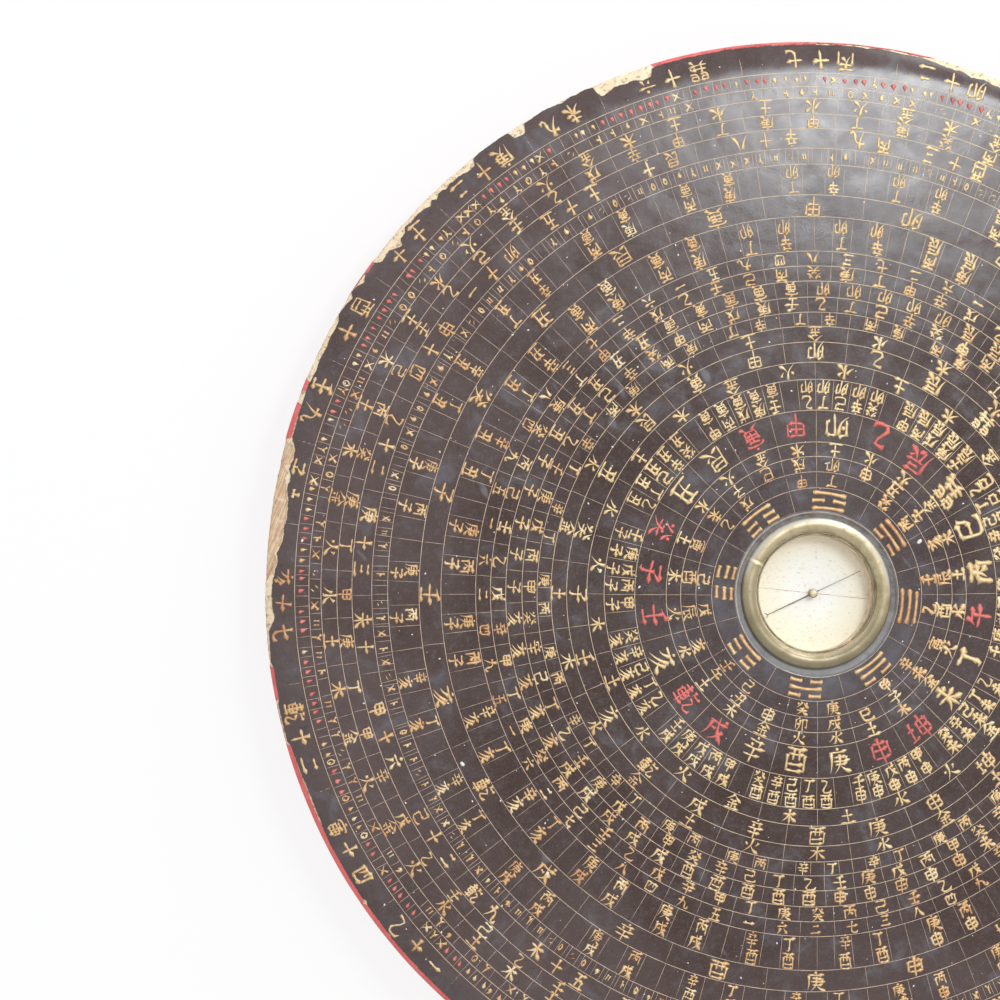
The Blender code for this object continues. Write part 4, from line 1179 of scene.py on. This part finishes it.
def paint_tiny(gold, red, rng):
    """Tiny signs of the three narrowest rings."""
    for number in range(192):
        degrees = 1.875 * number
        if rng.random() < 0.9:
            fit_glyph(gold, rng.choice(TINY_MARKS), 17, degrees + 1.28, 0.66, 0.62, rng,
                      tone=rng.uniform(0.3, 0.8))
        if rng.random() < 0.82:
            fit_glyph(gold, rng.choice(TINY_MARKS), 21, degrees + 1.25, 0.9, 0.95, rng,
                      tone=rng.uniform(0.2, 0.8))
    number = 0
    while number < 320:
        is_red = rng.random() < 0.5
        is_drop = is_red or rng.random() < 0.45
        name = "drop" if is_drop else rng.choice(("cross", "fork", "cross", "loop", "comma"))
        fill, aspect = (0.58, 0.75) if is_drop else (0.74, 1.0)
        for _ in range(rng.choice((1, 2, 3)) if is_drop else 1):
            if rng.random() < 0.94:
                fit_glyph(red if is_red else gold, name, 22, 0.76 + 1.125 * number, fill, aspect, rng,
                          tone=rng.uniform(0.35, 0.95))
            number += 1


def add_bar(marks, angle, radius, length, offset, tone, rng):
    """One thick bar of a trigram, with flared ends."""
    share = np.linspace(-0.5, 0.5, 13)
    along = offset + share * length
    flare = TRIGRAM_BAR * (0.80 + 0.95 * np.abs(2.0 * share) ** 5.0) * rng.uniform(0.92, 1.08)
    flare[0] *= rng.uniform(0.35, 0.65)
    flare[-1] *= rng.uniform(0.35, 0.65)
    bow = rng.uniform(-0.12, 0.12) * MM * np.cos(math.pi * share)
    skew = rng.uniform(-0.03, 0.03) * along
    y = (bow + skew)[:, None] + flare[:, None] / 2 * ACROSS
    marks.ribbon(angle + along[:, None] / radius, radius - y, 0.16 * MM, tone)


def paint_trigrams(gold, rng):
    """Eight trigrams round the compass."""
    for number, lines in enumerate(TRIGRAMS):
        angle = math.radians(TRIGRAM_START + 45.0 * number)
        for place, whole in enumerate(lines):
            radius = (CIRCLES[0] + CIRCLES[1]) / 2 * MM + (place - 1) * TRIGRAM_PITCH
            length = TRIGRAM_LENGTH * rng.uniform(0.96, 1.04)
            tone = rng.uniform(0.1, 0.3) if number in ORANGE_TRIGRAMS else rng.uniform(0.35, 0.6)
            if whole:
                add_bar(gold, angle, radius, length, 0.0, tone, rng)
                continue
            half = (length - TRIGRAM_BREAK) / 2
            for side in (-1, 1):
                add_bar(gold, angle, radius, half, side * (half + TRIGRAM_BREAK) / 2, tone, rng)


def draw_circle(lines, radius, rng):
    """One incised circle, filled with paint."""
    angle = round_angles(720)
    seed = rng.randrange(1000)
    middle = radius + 0.04 * MM * ripple(angle, seed, (3, 8, 21, 55))
    half = CIRCLE_LINE / 2 * (1.0 + 0.16 * ripple(angle, seed + 1, (40, 90, 170), 0.2))
    rows = middle[:, None] - half[:, None] * ACROSS
    lines.ribbon(angle[:, None], rows, 0.025 * MM, rng.uniform(0.55, 0.9), closed=True)


def draw_radial(lines, ring, degrees, rng):
    """One incised line across a ring."""
    inner = CIRCLES[ring] * MM - rng.uniform(-0.1, 0.25) * MM
    outer = CIRCLES[ring + 1] * MM + rng.uniform(-0.3, 0.25) * MM
    start = math.radians(degrees + rng.gauss(0.0, 0.1))
    if ring == RIM_RING:
        outer = min(LAST_LINE_END, lacquer_run(np.array([start]))[0] - 0.5 * MM)
    share = np.linspace(0.0, 1.0, 4)[:, None]
    radius = inner + (outer - inner) * share
    angle = start + rng.gauss(0.0, 0.0009) * share
    half = RADIAL_LINE / 2 * rng.uniform(0.8, 1.2) * np.array([[0.8], [1.0], [1.0], [0.5]])
    # The left edge of a line that runs outwards lies on its anticlockwise side
    lines.ribbon(angle + half / radius * ACROSS, radius, 0.02 * MM, rng.uniform(0.25, 0.8))


def draw_lines(lines, rng):
    """All incised circles and radial lines."""
    for radius in CIRCLES[:-1]:
        draw_circle(lines, radius * MM, rng)
    for ring, first, step in EVEN_CELLS:
        for number in range(round(360.0 / step)):
            draw_radial(lines, ring, first + step * number, rng)
    for ring, start, widths in UNEVEN_CELLS:
        for number, degrees, width in uneven_cells(start, widths):
            draw_radial(lines, ring, degrees, rng)


def make_marks():
    """Every line and mark on the face, in a few pieces."""
    line_paint = paint("line_paint", (0.48, 0.34, 0.28), (0.67, 0.49, 0.39), (0.80, 0.62, 0.45),
                       (0.93, 0.76, 0.46))
    gold_paint = paint("gold_paint", (0.60, 0.30, 0.15), (0.77, 0.50, 0.24), (0.89, 0.73, 0.47),
                       (0.92, 0.76, 0.42), metallic=0.2, roughness=0.4)
    red_paint = paint("red_paint", (0.50, 0.15, 0.12), (0.74, 0.18, 0.16), (0.84, 0.26, 0.22))
    lines, inner, middle, outer, red = [Marks() for _ in range(5)]
    rng = random.Random(8)
    draw_lines(lines, rng)
    paint_trigrams(inner, rng)
    paint_inner(inner, rng)
    paint_middle(middle, rng)
    paint_points(outer, red, rng)
    paint_outer(outer, rng)
    paint_tiny(outer, red, rng)
    lines.build("incised_lines", line_paint)
    inner.build("gold_marks_inner", gold_paint)
    middle.build("gold_marks_middle", gold_paint)
    outer.build("gold_marks_outer", gold_paint)
    red.build("red_marks", red_paint)


def speck_points(angle, radius, size):
    """Three rings of points of one drop, from its top down."""
    around = round_angles(SPECK_SIDES)
    rings = []
    for share, lift in ((0.3, 0.45 * size), (0.75, 0.3 * size), (1.0, -SUNK)):
        reach = size * share * (1.0 + 0.26 * np.sin(2.0 * around + angle * 9.0))
        rings.append(np.stack([angle + reach * np.cos(around) / radius, radius - reach * np.sin(around),
                               np.full(SPECK_SIDES, lift)], axis=1))
    return np.concatenate(rings)


def make_specks():
    """Splashes of white paint and grains of dust on the face."""
    rng = random.Random(17)
    spots = [(math.radians(degrees), radius * MM, width / 2 * MM) for degrees, radius, width in BIG_SPECKS]
    for _ in range(DUST_COUNT):
        radius = DUST_REACH * math.sqrt(rng.uniform(0.03, 1.0))
        spots.append((rng.uniform(0.0, math.tau), radius, rng.choice(DUST_SIZES) * MM))
    specks = Marks()
    faces = np.array(ring_faces(3, SPECK_SIDES, False))
    top = range(SPECK_SIDES)
    base = range(3 * SPECK_SIDES - 1, 2 * SPECK_SIDES - 1, -1)
    for angle, radius, size in spots:
        specks.add(speck_points(angle, radius, size), faces, (top, base), 0.5)
    specks.build("paint_specks", speck_paint())


# Needle compass

def tube(sections):
    """Points and faces of a closed tube. A section's corners run anticlockwise, seen from the start."""
    count, sides, _ = sections.shape
    last = (count - 1) * sides
    faces = ring_faces(count, sides, False)
    faces += [list(range(sides)), list(range(last + sides - 1, last - 1, -1))]
    return sections.reshape(-1, 3), faces


def swept(angles, radius, height):
    """Sections round the axis, from each corner's radius and height at each angle."""
    x = radius * np.cos(angles)[:, None]
    y = radius * np.sin(angles)[:, None]
    return np.stack(np.broadcast_arrays(x, y, height), axis=2)


def make_bezel():
    """Half-round brass ring, slightly flattened by wear, with its seam."""
    angles = round_angles(288)
    middle = (BEZEL_INNER + BEZEL_OUTER) / 2
    half = (BEZEL_OUTER - BEZEL_INNER) / 2
    past_seam = np.degrees(angles) - SEAM_ANGLE
    away = np.abs((past_seam + 180.0) % 360.0 - 180.0)
    step = np.where(past_seam > 0.0, 0.10 * MM, 0.0) * np.exp(-away / 9.0)
    dent = 0.16 * MM * np.exp(-(away / 0.9) ** 2)
    wear = 0.03 * MM * ripple(angles, 91, (2, 5, 9, 17))
    rings = []
    for degrees in range(180, -1, -9):
        turn = math.radians(degrees)
        crown = abs(math.sin(turn)) ** 0.92
        rings.append((middle + (half + wear * crown) * math.cos(turn),
                      BEZEL_BASE + BEZEL_SKIRT + crown * (BEZEL_CROWN - dent + wear + step)))
    rings += [(BEZEL_OUTER, BEZEL_BASE + 0.1 * MM), (BEZEL_OUTER - 0.1 * MM, BEZEL_BASE),
              (BEZEL_INNER + 0.1 * MM, BEZEL_BASE)]
    bezel = skin("bezel", rings, angles, bezel_brass(), sharp=50.0)
    dress(bezel, "bezel_ring")


def make_wire_ring():
    """Split ring of round wire that is sprung in above the glass."""
    first = WIRE_GAP_ANGLE + WIRE_GAP / 2
    angles = np.radians(np.linspace(first, first + 360.0 - WIRE_GAP, 260))
    size = np.full((len(angles), 1), WIRE_RADIUS)
    size[[0, -1]] *= 0.6
    size[[1, -2]] *= 0.85
    turns = round_angles(10)
    radius = WIRE_RING_RADIUS + 0.04 * MM * np.sin(3 * angles)[:, None] + size * np.cos(turns)
    height = GLASS_TOP + WIRE_RADIUS + 0.05 * MM + size * np.sin(turns)
    brass = aged_brass("wire_brass", (0.36, 0.33, 0.24), (0.20, 0.17, 0.10), 0.36, 0.54)
    wire = add_object("wire_ring", *tube(swept(angles, radius, height)), brass)
    dress(wire, "split_ring")


def make_glass():
    """Flat glass with ground edges."""
    ease = 0.12 * MM
    outline = [(GLASS_RADIUS - ease, GLASS_TOP), (GLASS_RADIUS, GLASS_TOP - ease),
               (GLASS_RADIUS, GLASS_BASE + ease), (GLASS_RADIUS - ease, GLASS_BASE)]
    glass = skin("glass", outline, round_angles(160), clear_glass(), closed=False, sharp=30.0)
    dress(glass, "compass_glass")


def dial_height(angle, share):
    """Height of the cockled dial at an angle and a share of its radius."""
    return DIAL_TOP - 0.05 * MM + 0.05 * MM * ripple(angle + 3.0 * share, 77, (2, 3, 5)) * share


def make_dial():
    """Paper dial, a little cockled."""
    angles = round_angles(144)
    rings = [(DIAL_RADIUS, DIAL_BASE), (DIAL_RADIUS * 0.05, DIAL_BASE)]
    rings += [(DIAL_RADIUS * share, dial_height(angles, share)) for share in np.linspace(0.05, 1.0, 16)]
    dial = skin("dial", rings, angles, dial_paper())
    dress(dial, "paper_dial")


def make_meridian():
    """Printed line of the meridian on the dial."""
    reach = DIAL_RADIUS - 0.3 * MM
    along = np.linspace(-reach, reach, 60)[:, None]
    side = 0.10 * MM * (1.0 + 0.3 * np.sin(along / (1.7 * MM))) * ACROSS
    turn = math.radians(MERIDIAN_ANGLE)
    x = along * math.cos(turn) - side * math.sin(turn)
    y = along * math.sin(turn) + side * math.cos(turn)
    height = dial_height(np.arctan2(y, x), np.abs(along) / DIAL_RADIUS)
    height += np.array([-SUNK, 0.03 * MM, -SUNK])
    points = np.stack([x, y, height], axis=2).reshape(-1, 3)
    ink = stained("meridian_ink", 1.4 * MM, 0.35, 0.65, (0.42, 0.13, 0.11), (0.64, 0.34, 0.28), roughness=0.7)
    faces = ribbon_faces(len(along)).tolist() + ribbon_ends(len(along))
    line = add_object("meridian_line", points, faces, ink.material)
    dress(line)


def ridged_bar(path, right, widths, heights):
    """Closed bar on a path: its right edge, ridge, left edge and keel at these heights."""
    side = np.asarray(widths)[:, None] * np.array([1.0, 0.0, -1.0, 0.0])
    x = path[:, 0, None] + side * right[0]
    y = path[:, 1, None] + side * right[1]
    height = NEEDLE_BASE + np.array(heights) * MM
    return tube(np.stack(np.broadcast_arrays(x, y, height), axis=2))


def needle_blade():
    """Slender needle with its eye, pointing along X."""
    stations = np.linspace(-NEEDLE_TAIL, NEEDLE_REACH, 41)
    share = np.abs(stations) / NEEDLE_REACH
    half = NEEDLE_WIDTH / 2 * (1.0 - 0.5 * share ** 1.2)
    half[stations > 0.0] *= 0.7
    eye = 0.45 * MM * np.exp(-(stations / (0.9 * MM)) ** 2)
    path = np.stack([stations, np.zeros(len(stations))], axis=1)
    return ridged_bar(path, (0.0, -1.0), np.maximum(half, 0.09 * MM) + eye, (0.10, 0.28, 0.10, 0.0))


def fork_prong(turn):
    """One prong of the forked tail."""
    reach = FORK_PRONG * np.array([[0.0], [0.5], [1.0]])
    path = (-NEEDLE_TAIL, 0.0) - reach * (math.cos(turn), math.sin(turn))
    widths = np.array([0.15, 0.13, 0.05]) * MM
    return ridged_bar(path, (-math.sin(turn), math.cos(turn)), widths, (0.10, 0.24, 0.10, 0.02))


def joined(bars):
    """Several closed bars as the points and faces of one mesh."""
    points = []
    faces = []
    for bar_points, bar_faces in bars:
        faces += [[len(points) + corner for corner in face] for face in bar_faces]
        points += bar_points.tolist()
    return np.array(points), faces


def make_needle(steel):
    """Steel needle with a ridge and a forked tail."""
    points, faces = joined([needle_blade(), fork_prong(-FORK_ANGLE), fork_prong(FORK_ANGLE)])
    turn = np.array(Matrix.Rotation(NEEDLE_ANGLE, 3, "Z"))
    needle = add_object("needle_blade", points @ turn.T, faces, steel, smooth=False)
    dress(needle, "needle", "needle")


def make_cap():
    """Brass cap in the needle's eye, from its top down."""
    low = NEEDLE_BASE + 0.26 * MM
    outline = [(CAP_RADIUS * 0.3, CAP_TOP), (CAP_RADIUS * 0.66, CAP_TOP - 0.12 * MM),
               (CAP_RADIUS * 0.9, low + 0.55 * MM), (CAP_RADIUS, low + 0.35 * MM), (CAP_RADIUS, low),
               (0.6 * MM, low), (0.6 * MM, CAP_BASE + 0.1 * MM), (0.55 * MM, CAP_BASE)]
    brass = aged_brass("cap_brass", (0.84, 0.74, 0.56), (0.66, 0.52, 0.36), 0.54, 0.72)
    cap = skin("cap", outline, round_angles(48), brass, closed=False, sharp=40.0)
    dress(cap, "needle_cap", "needle")


def make_strap(steel):
    """Bent strap that holds the cap down on one side of the needle."""
    share = np.linspace(0.0, 1.0, 15)
    angles = np.radians(-150.0 + 120.0 * share) + NEEDLE_ANGLE
    width = 0.16 * MM * (0.55 + 0.45 * np.sin(math.pi * share))
    outside = width[:, None] * np.array([1.0, 1.0, 0.0, 0.0])
    radius = CAP_RADIUS + np.array([0.05, 0.02, -0.05, 0.02]) * MM + outside
    height = NEEDLE_BASE + np.array([0.36, 0.56, 0.36, 0.24]) * MM
    strap = add_object("cap_strap", *tube(swept(angles, radius, height)), steel, sharp=30.0)
    dress(strap, body="needle")


def dress_kept_nodes():
    """Better materials for the solids that stay as they are."""
    cup = stained("pale_cup", 3.0 * MM, 0.35, 0.65, (0.84, 0.72, 0.54), (0.66, 0.50, 0.34), detail=4.0,
                  metallic=0.3, roughness=0.5)
    pin = stained("pin_steel", 1.2 * MM, 0.4, 0.65, (0.30, 0.30, 0.31), (0.16, 0.14, 0.12), metallic=1.0,
                  roughness=0.35)
    putty = Shader("bedding_putty", roughness=0.85)
    putty.colour(putty.mix(putty.noise(2 * MM, detail=5.0), (0.20, 0.13, 0.09), (0.30, 0.22, 0.15)))
    putty.bump(putty.noise(0.6 * MM), 0.1 * MM, 0.7)
    for node, shader in (("compass_cup", cup), ("pivot_pin", pin), ("cup_bedding", putty)):
        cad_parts[node].material_slots[0].material = shader.material


# Studio

def seen_white(tree, lit, white, share, surface):
    """Gives camera, glossy and transmission rays a share of plain white, and the rest the lit surface."""
    path = tree.nodes.new("ShaderNodeLightPath")
    seen = path.outputs["Is Camera Ray"]
    for ray in ("Is Glossy Ray", "Is Transmission Ray"):
        either = tree.nodes.new("ShaderNodeMath")
        either.operation = "MAXIMUM"
        tree.links.new(seen, either.inputs[0])
        tree.links.new(path.outputs[ray], either.inputs[1])
        seen = either.outputs["Value"]
    part = tree.nodes.new("ShaderNodeMath")
    part.operation = "MULTIPLY"
    part.inputs[1].default_value = share
    tree.links.new(seen, part.inputs[0])
    mix = tree.nodes.new("ShaderNodeMixShader")
    tree.links.new(part.outputs["Value"], mix.inputs["Fac"])
    tree.links.new(lit, mix.inputs[1])
    tree.links.new(white, mix.inputs[2])
    tree.links.new(mix.outputs["Shader"], surface)


def make_floor():
    """Pale floor that keeps a soft shadow."""
    material = bpy.data.materials.new("floor")
    material.use_nodes = True
    tree = material.node_tree
    lit = tree.nodes["Principled BSDF"]
    lit.inputs["Base Color"].default_value = FLOOR_COLOUR
    lit.inputs["Roughness"].default_value = 0.9
    lit.inputs["Specular IOR Level"].default_value = 0.1
    glow = tree.nodes.new("ShaderNodeEmission")
    glow.inputs["Strength"].default_value = 1.0
    seen_white(tree, lit.outputs["BSDF"], glow.outputs["Emission"], FLOOR_WHITE,
               tree.nodes["Material Output"].inputs["Surface"])
    corners = [(x * FLOOR_REACH, y * FLOOR_REACH, -0.1 * MM) for x, y in ((-1, -1), (1, -1), (1, 1), (-1, 1))]
    add_object("floor", corners, [(0, 1, 2, 3)], material, smooth=False)


def make_world():
    """Even soft light from all round, seen as white."""
    world = bpy.data.worlds.new("world")
    bpy.context.scene.world = world
    world.use_nodes = True
    tree = world.node_tree
    lit = tree.nodes["Background"]
    lit.inputs["Color"].default_value = WORLD_COLOUR
    lit.inputs["Strength"].default_value = WORLD_STRENGTH
    white = tree.nodes.new("ShaderNodeBackground")
    white.inputs["Strength"].default_value = 1.0
    white.inputs["Color"].default_value = (1.0, 1.0, 1.0, 1.0)
    seen_white(tree, lit.outputs["Background"], white.outputs["Background"], 1.0,
               tree.nodes["World Output"].inputs["Surface"])


def make_lamp(name, place, target, size, watts, colour):
    data = bpy.data.lights.new(name, "AREA")
    data.shape = "RECTANGLE"
    data.size, data.size_y = size
    data.energy = watts
    data.color = colour
    lamp = bpy.data.objects.new(name, data)
    lamp.location = place
    lamp.rotation_euler = (Vector(target) - Vector(place)).to_track_quat("-Z", "Y").to_euler()
    bpy.context.scene.collection.objects.link(lamp)


def make_camera():
    """Camera that puts the face's middle on its pixel, tilted as in the photograph."""
    turn = Matrix.Rotation(TILT_Y, 3, "Y") @ Matrix.Rotation(TILT_X, 3, "X")
    offset = Vector(((CENTRE_PIXEL_X - IMAGE_PIXELS / 2) * PIXEL_SIZE,
                     (IMAGE_PIXELS / 2 - CENTRE_PIXEL_Y) * PIXEL_SIZE, -FOCAL_PIXELS * PIXEL_SIZE))
    data = bpy.data.cameras.new("camera")
    data.sensor_width = SENSOR_WIDTH_MM
    data.lens = SENSOR_WIDTH_MM * FOCAL_PIXELS / IMAGE_PIXELS
    data.clip_end = CLIP_END
    camera = bpy.data.objects.new("camera", data)
    camera.matrix_world = turn.transposed().to_4x4()
    camera.location = turn.transposed() @ -offset + Vector((0.0, 0.0, FACE_HEIGHT))
    bpy.context.scene.collection.objects.link(camera)
    bpy.context.scene.camera = camera


def main():
    make_camera()
    make_face()
    make_ground()
    make_rim()
    make_wood()
    make_marks()
    make_specks()
    make_bezel()
    make_wire_ring()
    make_glass()
    make_dial()
    make_meridian()
    steel = needle_steel()
    make_needle(steel)
    make_cap()
    make_strap(steel)
    dress_kept_nodes()
    make_floor()
    make_world()
    for lamp in LAMPS:
        make_lamp(*lamp)
    bpy.context.scene.view_settings.view_transform = "Standard"


main()
